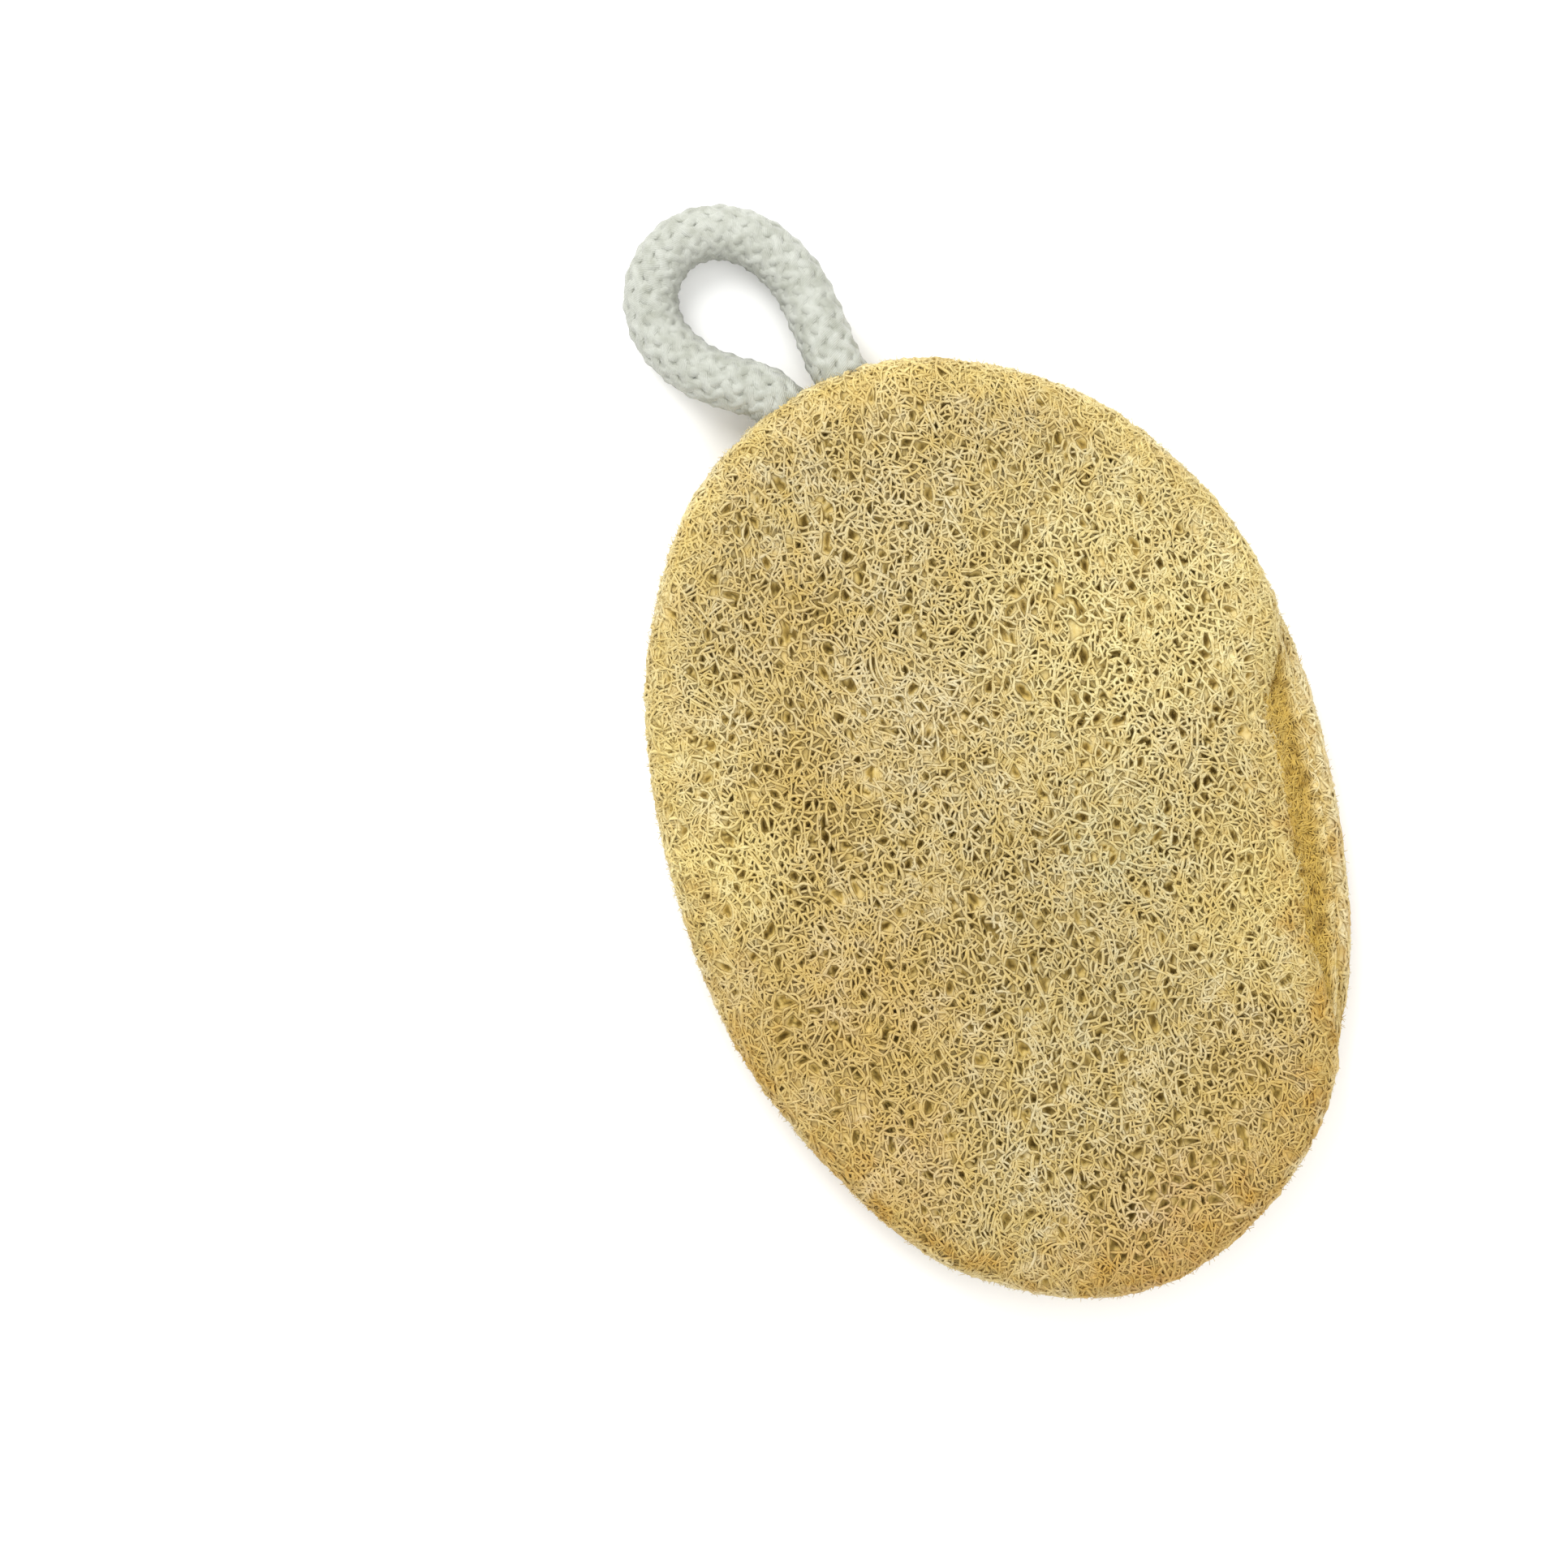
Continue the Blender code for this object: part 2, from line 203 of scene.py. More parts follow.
@dataclass(frozen=True)
class PadForm:
    """One layer's outer surface, in millimetres: the oval, rims and hills of its solid."""

    side: Side
    outline: tuple[float, ...] = (50.7, 54.2, 61.0, 68.5, 73.4, 70.1, 61.2, 54.0,
                                  51.4, 53.7, 59.4, 69.5, 74.8, 69.1, 59.0, 52.2)  # fmt: skip
    middle: tuple[float, float] = (-0.23, -0.27)
    parting: float = 8.0
    front_rim: tuple[tuple[float, float], ...] = (
        (1.4, 0.15), (0.5, 1.4), (0.0, 3.1), (0.5, 5.1), (2.4, 6.9), (5.6, 7.7), (9.2, 8.0))  # fmt: skip
    back_plain: tuple[tuple[float, float], ...] = (
        (1.4, 0.15), (1.0, 0.7), (0.6, 1.4), (0.3, 2.2), (0.2, 3.2),
        (0.7, 5.0), (2.6, 6.5), (5.8, 7.2), (9.5, 7.4))  # fmt: skip
    back_lipped: tuple[tuple[float, float], ...] = (
        (4.0, 0.15), (3.8, -1.6), (2.3, -2.9), (0.7, -1.9), (0.0, 0.6),
        (0.3, 3.6), (2.4, 6.2), (5.8, 7.2), (9.5, 7.4))  # fmt: skip
    lip_width: float = 6.8
    lip_degrees: tuple[float, float, float] = (14, -46, 20)
    front_hills: tuple[tuple[float, ...], ...] = (
        (0, 0, 46, 1.2), (-26, 34, 11, -1.1), (-18, 41, 8, -0.5), (17, 49, 10, -0.9), (-1, -21, 11, -1.0),
        (-31, -40, 12, -1.1), (-9, 45, 7, 0.6), (12, 2, 10, 0.6), (8, -46, 11, 0.7), (24, -24, 12, -0.5),
        (27, 22, 12, 0.5), (-12, 68, 9, 1.2), (-3, 68, 9, 0.9))  # fmt: skip
    back_hills: tuple[tuple[float, ...], ...] = (
        (0, 0, 30, 1.05), (-24, 32, 12, -0.5), (22, 38, 12, -0.4), (25, -30, 13, -0.6),
        (-26, -28, 12, -0.5), (-12, 68, 9, 0.6), (-3, 68, 9, 0.6))  # fmt: skip
    ripple: tuple[float, float, float] = (0.45, 17, 3.7)
    hills_fade: tuple[float, float] = (5, 13)
    run_on: float = 3.0  # how far inside the rim the curve through its points is aimed
    feel: float = 0.6  # how far apart the places are that give the surface's slope

    def outline_radius(self, angle: np.ndarray) -> np.ndarray:
        """The oval's radius, on the smooth closed curve through the outline.

        Args:
            angle: Angles from the X axis, in radians.

        Returns:
            One radius for each angle.
        """
        radii, count = np.array(self.outline), len(self.outline)
        t = angle / (2 * math.pi) * count % count
        i = t.astype(int)
        return between(*(radii[(i + k) % count] for k in (-1, 0, 1, 2)), t - i)

    def lip_share(self, angle: np.ndarray) -> np.ndarray:
        """How much of its turned-up lip the back layer has.

        Args:
            angle: Angles from the X axis, in radians.

        Returns:
            For each angle a share, from 0 where there is no lip to 1 where it is whole.
        """
        start, end, fade = (math.radians(a) for a in self.lip_degrees)
        away = np.abs((angle - (start + end) / 2 + math.pi) % (2 * math.pi) - math.pi)
        return 1 - smooth_step((start - end - fade) / 2, (start - end + fade) / 2, away)

    def rim(self, angle: np.ndarray) -> np.ndarray:
        """The rim's section.

        Args:
            angle: Angles from the X axis, in radians.

        Returns:
            For each angle the section's points from the seam inwards, as inset and height.
        """
        share = self.lip_share(angle)[:, None, None]
        if self.side is Side.FRONT:
            return np.array(self.front_rim)[None] + share * np.array([self.lip_width, 0])
        plain, lipped = np.array(self.back_plain)[None], np.array(self.back_lipped)[None]
        return plain + share * (lipped - plain)

    def from_seam(self, flat: np.ndarray) -> np.ndarray:
        """How far each place is from the seam, along the surface.

        Args:
            flat: Places on the flattened blank, two numbers each.

        Returns:
            One length for each place, negative beyond the seam.
        """
        angle = np.arctan2(flat[:, 1], flat[:, 0])
        rim = self.rim(angle)
        rolled = np.linalg.norm(np.diff(rim, axis=1), axis=2).sum(axis=1)
        return self.outline_radius(angle) - rim[:, -1, 0] + rolled - np.hypot(flat[:, 0], flat[:, 1])

    def relief(self, x: np.ndarray, y: np.ndarray) -> np.ndarray:
        """How far the hills, dips and ripples lift the surface.

        Args:
            x: How far across the pad each place is.
            y: How far along the pad it is.

        Returns:
            One height for each place.
        """
        hills = self.front_hills if self.side is Side.FRONT else self.back_hills
        lift = sum(h * np.exp(-((x - hx) ** 2 + (y - hy) ** 2) / reach**2) for hx, hy, reach, h in hills)
        height, pitch, seed = self.ripple
        return lift + height * field_noise(np.stack([x, y], axis=1), pitch, seed * self.side.value)

    def surface(self, flat: np.ndarray) -> np.ndarray:
        """The place on the finished layer of each place of its flattened blank.

        Args:
            flat: Places on the blank, two numbers each.

        Returns:
            Places in the part's frame, three numbers each.
        """
        angle = np.arctan2(flat[:, 1], flat[:, 0])
        rim = self.rim(angle)
        steps = np.linalg.norm(np.diff(rim, axis=1), axis=2)
        reach = np.cumsum(steps, axis=1)
        seam = self.outline_radius(angle) - rim[:, -1, 0] + reach[:, -1] - np.hypot(flat[:, 0], flat[:, 1])
        left = np.maximum(seam, 0)
        last = steps.shape[1] - 1
        index = np.minimum((left[:, None] >= reach).sum(axis=1), last)
        rows = np.arange(len(flat))
        start = np.where(index > 0, reach[rows, index - 1], 0)
        share = np.clip((left - start) / steps[rows, index], 0, 1)[:, None]
        onward = rim[:, -1:] + np.array([[[self.run_on, 0.0]]])
        points = np.concatenate([rim[:, :1], rim, onward], axis=1)
        inset, height = between(*(points[rows, index + k] for k in (0, 1, 2, 3)), share).T
        inset = inset + np.maximum(left - reach[:, -1], 0)
        radius = self.outline_radius(angle) - inset
        x, y = radius * np.cos(angle), radius * np.sin(angle)
        height = height + smooth_step(*self.hills_fade, seam) * self.relief(x, y)
        if self.side is Side.BACK:
            height = np.minimum(height, self.parting)
        up = self.parting + self.side.value * height
        return np.stack([x - self.middle[0], y - self.middle[1], up], axis=1)

    def lifted(self, flat: np.ndarray, lift: np.ndarray) -> np.ndarray:
        """Places above or below the surface.

        Args:
            flat: Places on the blank, two numbers each.
            lift: How far outwards each one lies, or inwards where it is negative.

        Returns:
            Places in the part's frame, three numbers each.
        """
        away = flat / np.maximum(np.hypot(flat[:, 0], flat[:, 1]), TINY)[:, None]
        room = np.clip(self.from_seam(flat), 0, self.feel)[:, None]
        across = np.stack([-away[:, 1], away[:, 0]], axis=1) * self.feel
        radial = self.surface(flat + away * room) - self.surface(flat - away * self.feel)
        sideways = self.surface(flat + across) - self.surface(flat - across)
        normal = np.cross(radial, sideways) * self.side.value
        normal /= np.maximum(np.linalg.norm(normal, axis=1), TINY)[:, None]
        return self.surface(flat) + normal * lift[:, None]


@dataclass
class Fibres:
    """Many fibres on one layer: their lines on the blank, and how each lies and looks."""

    lines: list[np.ndarray] = field(default_factory=list)
    lifts: list[np.ndarray] = field(default_factory=list)
    radii: list[np.ndarray] = field(default_factory=list)
    tones: list[float] = field(default_factory=list)

    def add(self, line: np.ndarray, lift: np.ndarray, radius: np.ndarray, tone: float) -> None:
        """Adds one fibre.

        Args:
            line: Its points on the blank, two numbers each.
            lift: How far over the surface it runs at each point.
            radius: Its radius at each point.
            tone: How dull it is, from 0 to 1.
        """
        self.lines.append(line)
        self.lifts.append(lift)
        self.radii.append(radius)
        self.tones.append(tone)

    def take(self, other: "Fibres") -> None:
        """Adds another lot of fibres."""
        for each in zip(other.lines, other.lifts, other.radii, other.tones):
            self.add(*each)


@dataclass(frozen=True)
class Pores:
    """The small wells that go down between the strands of a layer, in millimetres."""

    count: int
    size: tuple[float, float]
    seed: int
    stretch: tuple[float, float] = (1.2, 2.4)
    reach: float = 1.7
    blank: float = 90.0  # half the side of the square that they are first scattered over
    tries: int = 5
    clear: float = 3.0  # how far they keep from the seam
    rim_band: float = 12.0
    rim_share: float = 0.25
    likely: tuple[float, float] = (0.75, 0.5)  # how many are kept inside: usually, and by drifts
    drifts: tuple[float, float] = (14.0, 2.2)
    turned: float = 0.7
    cell: float = 4.0
    kept: float = 1.0
    brink: float = 0.12  # how deep in a pore a place may be and still count as outside it

    def wells(self, form: PadForm) -> np.ndarray:
        """Scatters the pores.

        Args:
            form: The layer's surface.

        Returns:
            A row for each pore: its middle, half width, share of length to width, and heading.
        """
        draw = np.random.default_rng(self.seed)
        spots = draw.uniform(-self.blank, self.blank, (self.count * self.tries, 2))
        inwards = form.from_seam(spots)
        usual, varied = self.likely
        likely = usual + varied * field_noise(spots, *self.drifts)
        likely = np.where(inwards < self.rim_band, self.rim_share, likely)
        spots = spots[(inwards > self.clear) & (draw.random(len(spots)) < likely)][: self.count]
        low, high = self.size
        size = low + (high - low) * draw.random(len(spots)) ** 2
        longer = draw.uniform(*self.stretch, len(spots))
        way = draw.normal(math.pi / 2, self.turned, len(spots))
        return np.column_stack([spots, size, longer, way])[: int(self.count * self.kept)]

    def nearby(self, form: PadForm, flat: np.ndarray) -> list[tuple[np.ndarray, np.ndarray, np.ndarray]]:
        """Finds the places that are close to each pore.

        Args:
            form: The layer's surface.
            flat: Places on the blank.

        Returns:
            For each pore the places' numbers, their offsets in the pore's own shape, and its axes.
        """
        cells: dict[tuple[int, int], list[int]] = {}
        for number, (x, y) in enumerate((flat // self.cell).astype(int)):
            cells.setdefault((x, y), []).append(number)
        found = []
        for x, y, size, longer, way in self.wells(form):
            i, j = int(x // self.cell), int(y // self.cell)
            close = [n for a in (-1, 0, 1) for b in (-1, 0, 1) for n in cells.get((i + a, j + b), ())]
            axes = np.array([[-math.sin(way), math.cos(way)], [math.cos(way), math.sin(way)]])
            axes *= np.array([[size], [size * longer]])
            offsets = (flat[close] - (x, y)) @ axes.T / (axes**2).sum(axis=1)
            found.append((np.array(close, int), offsets, axes))
        return found

    def opened(self, form: PadForm, flat: np.ndarray) -> np.ndarray:
        """Pushes places out of the pores, so that strands run round them.

        Args:
            form: The layer's surface.
            flat: Places on the blank.

        Returns:
            The moved places.
        """
        moved = flat.copy()
        for close, offsets, axes in self.nearby(form, flat):
            far = np.hypot(offsets[:, 0], offsets[:, 1])
            near = far < self.reach
            pushed = (1 + far[near] * (self.reach - 1) / self.reach) / np.maximum(far[near], TINY)
            moved[close[near]] += (offsets[near] * (pushed - 1)[:, None]) @ axes
        return moved

    def sunk(self, form: PadForm, flat: np.ndarray) -> np.ndarray:
        """How deep in a pore each place is.

        Args:
            form: The layer's surface.
            flat: Places on the blank.

        Returns:
            For each place a share, from 0 outside all pores to 1 at the middle of one.
        """
        share = np.zeros(len(flat))
        for close, offsets, _ in self.nearby(form, flat):
            share[close] = np.maximum(share[close], 1 - np.hypot(offsets[:, 0], offsets[:, 1]))
        return share

    def free(self, form: PadForm, flat: np.ndarray) -> np.ndarray:
        """Which places on the blank lie outside the pores."""
        return self.sunk(form, flat) < self.brink


@dataclass(frozen=True)
class NetLevel:
    """One level of the fused net inside a layer, in millimetres. Its holes start from a grid that
    is scattered and pulled out of line, and its strands run between the holes."""

    pitch: float
    depth: float
    radius: tuple[float, float]
    roll: float
    jitter: float
    dropped: float
    seed: int
    stretch: float = 1.25
    warp: float = 3.0
    warp_pitch: float = 16.0
    clump: float = 1.0
    clump_pitch: float = 4.5
    knotted: float = 1.14  # how much thicker the strands are where they meet
    row: float = 0.866  # the grid's step from row to row, over its pitch
    blank: float = 95.0  # half the side of the square that the grid covers
    beyond: float = 1.5  # how far past the seam the holes go, in pitches
    within: float = 0.1  # how far from the seam the strands stay
    scatter: float = 0.36
    roll_pitch: float = 5.0
    uneven: tuple[float, float] = (0.75, 1.2)
    opposite: float = -0.2  # the cosine below which two strands at a knot run on as one
    rounds: int = 2
    ease: float = 0.125
    longest: int = 10  # how many knots one strand has at most

    def holes(self, form: PadForm, draw: np.random.Generator) -> np.ndarray:
        """Scatters the middles of the net's holes over the blank and a little beyond it.

        Args:
            form: The layer's surface.
            draw: Where the random draws come from.

        Returns:
            Places on the blank, two numbers each.
        """
        wide, tall = self.pitch / math.sqrt(self.stretch), self.pitch * math.sqrt(self.stretch) * self.row
        across, along = (int(self.blank / size) for size in (wide, tall))
        j, i = (g.ravel() for g in np.mgrid[-along : along + 1, -across : across + 1])
        spots = np.stack([(i + 0.5 * (j % 2)) * wide, j * tall], axis=1).astype(float)
        spots += draw.uniform(-self.scatter, self.scatter, spots.shape) * np.array([wide, tall])
        push = [field_noise(spots, self.warp_pitch, self.seed + k) for k in (0.3, 7.7)]
        spots += self.warp * np.stack(push, axis=1)
        clump = [field_noise(spots, self.clump_pitch, self.seed + k) for k in (2.9, 4.1)]
        spots += self.clump * np.stack(clump, axis=1)
        return spots[form.from_seam(spots) > -self.beyond * self.pitch]

    def fibres(self, form: PadForm, pores: Pores) -> Fibres:
        """Lays the net: strands run between the holes, and each meets others at both ends.

        Args:
            form: The layer's surface.
            pores: The wells that the strands leave free.

        Returns:
            The net's strands.
        """
        draw = np.random.default_rng(self.seed)
        spots = self.holes(form, draw)
        places, _, cells = delaunay_2d_cdt([Vector(p) for p in spots], [], [], 0, TINY)[:3]
        corners = np.array([tuple(p) for p in places])
        knots = pores.opened(form, corners[np.array(cells)].mean(axis=1))
        near = self.neighbours(cells, knots, form, pores, draw)
        onward = self.straightest(near, knots)
        knots = self.eased(knots, onward)
        rise = self.roll * field_noise(knots, self.roll_pitch, self.seed + 0.5)
        rise = rise + draw.normal(0, self.jitter, len(knots))
        found = Fibres()
        for chain in self.chains(near, onward):
            radius = draw.uniform(*self.radius) * draw.uniform(*self.uneven, len(chain)) * self.knotted
            found.add(knots[chain], rise[chain] - self.depth, radius, draw.uniform(0, 1))
        return found

    def neighbours(
        self, cells: list, knots: np.ndarray, form: PadForm, pores: Pores, draw: np.random.Generator
    ) -> list[list[int]]:
        """Which knots each knot has a strand to. Some strands are dropped, which leaves wide holes.

        Args:
            cells: The three holes round each knot.
            knots: The knots' places on the blank.
            form: The layer's surface.
            pores: The wells that the strands leave free.
            draw: Where the random draws come from.

        Returns:
            For each knot the numbers of its neighbours.
        """
        sides: dict[tuple[int, int], int] = {}
        steps = []
        for number, cell in enumerate(cells):
            for k in range(3):
                edge = (min(cell[k], cell[k - 1]), max(cell[k], cell[k - 1]))
                if edge in sides:
                    steps.append((sides[edge], number))
                else:
                    sides[edge] = number
        steps = np.array(steps)
        inside = form.from_seam(knots) > self.within
        kept = inside[steps[:, 0]] & inside[steps[:, 1]] & (draw.random(len(steps)) > self.dropped)
        kept &= pores.free(form, knots[steps].mean(axis=1))
        near: list[list[int]] = [[] for _ in cells]
        for a, b in steps[kept]:
            near[a].append(int(b))
            near[b].append(int(a))
        return near

    def straightest(self, near: list[list[int]], knots: np.ndarray) -> dict[tuple[int, int], int]:
        """Joins, at each knot, the two strands that lie most opposite.

        Args:
            near: For each knot the numbers of its neighbours.
            knots: The knots' places on the blank.

        Returns:
            The knot that a strand goes on to, by the knot it is at and the knot it comes from.
        """
        onward = {}
        for here, around in enumerate(near):
            ways = [(knots[n] - knots[here]) / (np.hypot(*(knots[n] - knots[here])) + TINY) for n in around]
            pairs = [(ways[a] @ ways[b], a, b) for a in range(len(around)) for b in range(a)]
            if pairs and min(pairs)[0] < self.opposite:
                _, a, b = min(pairs)
                onward[here, around[a]] = around[b]
                onward[here, around[b]] = around[a]
        return onward

    def eased(self, knots: np.ndarray, onward: dict[tuple[int, int], int]) -> np.ndarray:
        """Moves the knots so that the strands through them run smoothly.

        Args:
            knots: The knots' places on the blank.
            onward: The knot that a strand goes on to, as straightest gives it.

        Returns:
            The moved places.
        """
        for _ in range(self.rounds):
            moved = knots.copy()
            for (here, before), after in onward.items():
                moved[here] += self.ease * (knots[before] + knots[after] - 2 * knots[here])
            knots = moved
        return knots

    def chains(self, near: list[list[int]], onward: dict[tuple[int, int], int]) -> list[list[int]]:
        """Follows the strands. Every step between two knots is in one strand.

        Args:
            near: For each knot the numbers of its neighbours.
            onward: The knot that a strand goes on to, as straightest gives it.

        Returns:
            The numbers of the knots along each strand.
        """
        used: set[tuple[int, int]] = set()
        found = []
        starts = [(a, b) for a, around in enumerate(near) for b in around]
        starts.sort(key=lambda step: step in onward)
        for a, b in starts:
            if (a, b) in used:
                continue
            chain = [a, b]
            used.update(((a, b), (b, a)))
            while len(chain) < self.longest:
                here, before = chain[-1], chain[-2]
                after = onward.get((here, before))
                if after is None or (here, after) in used:
                    break
                used.update(((here, after), (after, here)))
                chain.append(after)
            found.append(chain)
        return found


@dataclass(frozen=True)
class LooseLot:
    """Long fibres that wander over the net and dip into it at both ends, in millimetres."""

    count: int
    length: tuple[float, float]
    radius: tuple[float, float]
    level: tuple[float, float]
    seed: int
    step: float = 1.1
    arch: float = 0.25
    uneven: float = 0.05
    taper: float = 0.45
    fewest: int = 3  # how many points a fibre has at least
    spread: float = 38.0  # how far the headings differ, in degrees
    sway: float = 1.1  # how far they follow the drifts, in radians
    sways: tuple[float, float] = (21.0, 5.2)
    curl: tuple[float, float] = (0.09, 0.12)  # the turn at each step: a fibre's own, and by chance
    rim_reach: float = 13.0
    rim_pull: float = 0.75
    blank: float = 92.0  # half the side of the square that they are first scattered over
    tries: int = 12
    clear: float = 0.2  # how far they keep from the seam
    band: tuple[float, float] = (0.4, 99.0)  # how far from the seam they start
    doubled: float = 0.0  # how far beside each one a second one runs
    tones: tuple[float, float] = (0.0, 1.0)

    def heading(self, form: PadForm, flat: np.ndarray) -> np.ndarray:
        """The way fibres mostly run: along the pad inside, and outwards on the rolled rim.

        Args:
            form: The layer's surface.
            flat: Places on the blank.

        Returns:
            One angle for each place, in radians.
        """
        along = math.pi / 2 + self.sway * field_noise(flat, *self.sways)
        out = np.arctan2(flat[:, 1], flat[:, 0])
        turn = (out - along + math.pi / 2) % math.pi - math.pi / 2
        near_rim = 1 - smooth_step(0.4 * self.rim_reach, self.rim_reach, form.from_seam(flat))
        return along + self.rim_pull * near_rim * turn

    def fibres(self, form: PadForm, pores: Pores) -> Fibres:
        """Lays the fibres.

        Args:
            form: The layer's surface.
            pores: The wells that they leave free.

        Returns:
            The fibres, each a gently turning line.
        """
        draw = np.random.default_rng(self.seed)
        spots = draw.uniform(-self.blank, self.blank, (self.count * self.tries, 2))
        inwards = form.from_seam(spots)
        spots = spots[(inwards > self.band[0]) & (inwards < self.band[1])][: self.count]
        lengths = draw.triangular(self.length[0], self.length[0], self.length[1], len(spots))
        steps = np.maximum((lengths / self.step).astype(int), 2)
        way = self.heading(form, spots) + np.radians(draw.normal(0, self.spread, len(spots)))
        way += math.pi * draw.integers(0, 2, len(spots))
        curl = draw.normal(0, self.curl[0], len(spots))
        trail = [spots]
        for _ in range(steps.max()):
            trail.append(trail[-1] + self.step * np.stack([np.cos(way), np.sin(way)], axis=1))
            way = way + curl + draw.normal(0, self.curl[1], len(spots))
        trail = np.stack(trail, axis=1)
        places = trail.reshape(-1, 2)
        free = (pores.free(form, places) & (form.from_seam(places) > self.clear)).reshape(len(spots), -1)
        found = Fibres()
        for line, clear, n in zip(trail, free, steps):
            line, inside = line[: n + 1], clear[: n + 1]
            line = line[: len(line) if inside.all() else int(np.argmin(inside))]
            level, thick = draw.uniform(*self.level), draw.uniform(*self.radius)
            tone = draw.uniform(*self.tones)
            if len(line) < self.fewest:
                continue
            t = np.linspace(-1, 1, len(line))
            lift = level + self.arch * (0.6 - t**4) + draw.normal(0, self.uneven, len(line))
            radius = thick * (1 - self.taper * t**6)
            found.add(line, lift, radius, tone)
            if self.doubled:
                ahead = line[-1] - line[0]
                aside = np.array([-ahead[1], ahead[0]]) / (np.hypot(*ahead) + TINY) * self.doubled
                found.add(line + aside * (1.15 - 0.3 * t[:, None] ** 2), lift, radius, tone)
        return found


@dataclass(frozen=True)
class Fuzz:
    """Short fine hairs that stand out of the rolled rim, in millimetres."""

    count: int
    seed: int
    length: tuple[float, float] = (0.6, 1.3)
    radius: tuple[float, float] = (0.06, 0.1)
    reach: tuple[float, float] = (1.0, 8.0)
    lean: float = 0.7
    rooted: float = -0.4
    taper: float = 0.6
    points: int = 4
    tones: tuple[float, float] = (0.0, 0.5)
    inner: float = 40.0  # a radius that lies well inside the rim all round

    def fibres(self, form: PadForm) -> Fibres:
        """Lays the hairs, each rooted under the surface and leaning over.

        Args:
            form: The layer's surface.

        Returns:
            The hairs.
        """
        draw = np.random.default_rng(self.seed)
        angle = draw.uniform(-math.pi, math.pi, self.count)
        inwards = draw.uniform(*self.reach, self.count)
        ray = np.stack([np.cos(angle), np.sin(angle)], axis=1)
        edge = form.from_seam(ray * self.inner)[:, None] + self.inner
        roots = ray * (edge - inwards[:, None])
        found = Fibres()
        for root in roots:
            tall = draw.uniform(*self.length)
            lean = draw.normal(0, self.lean, 2)
            t = np.linspace(0, 1, self.points)
            line = root + np.outer(t**1.5, lean)
            radius = draw.uniform(*self.radius) * (1 - self.taper * t)
            found.add(line, self.rooted + tall * t, radius, draw.uniform(*self.tones))
        return found


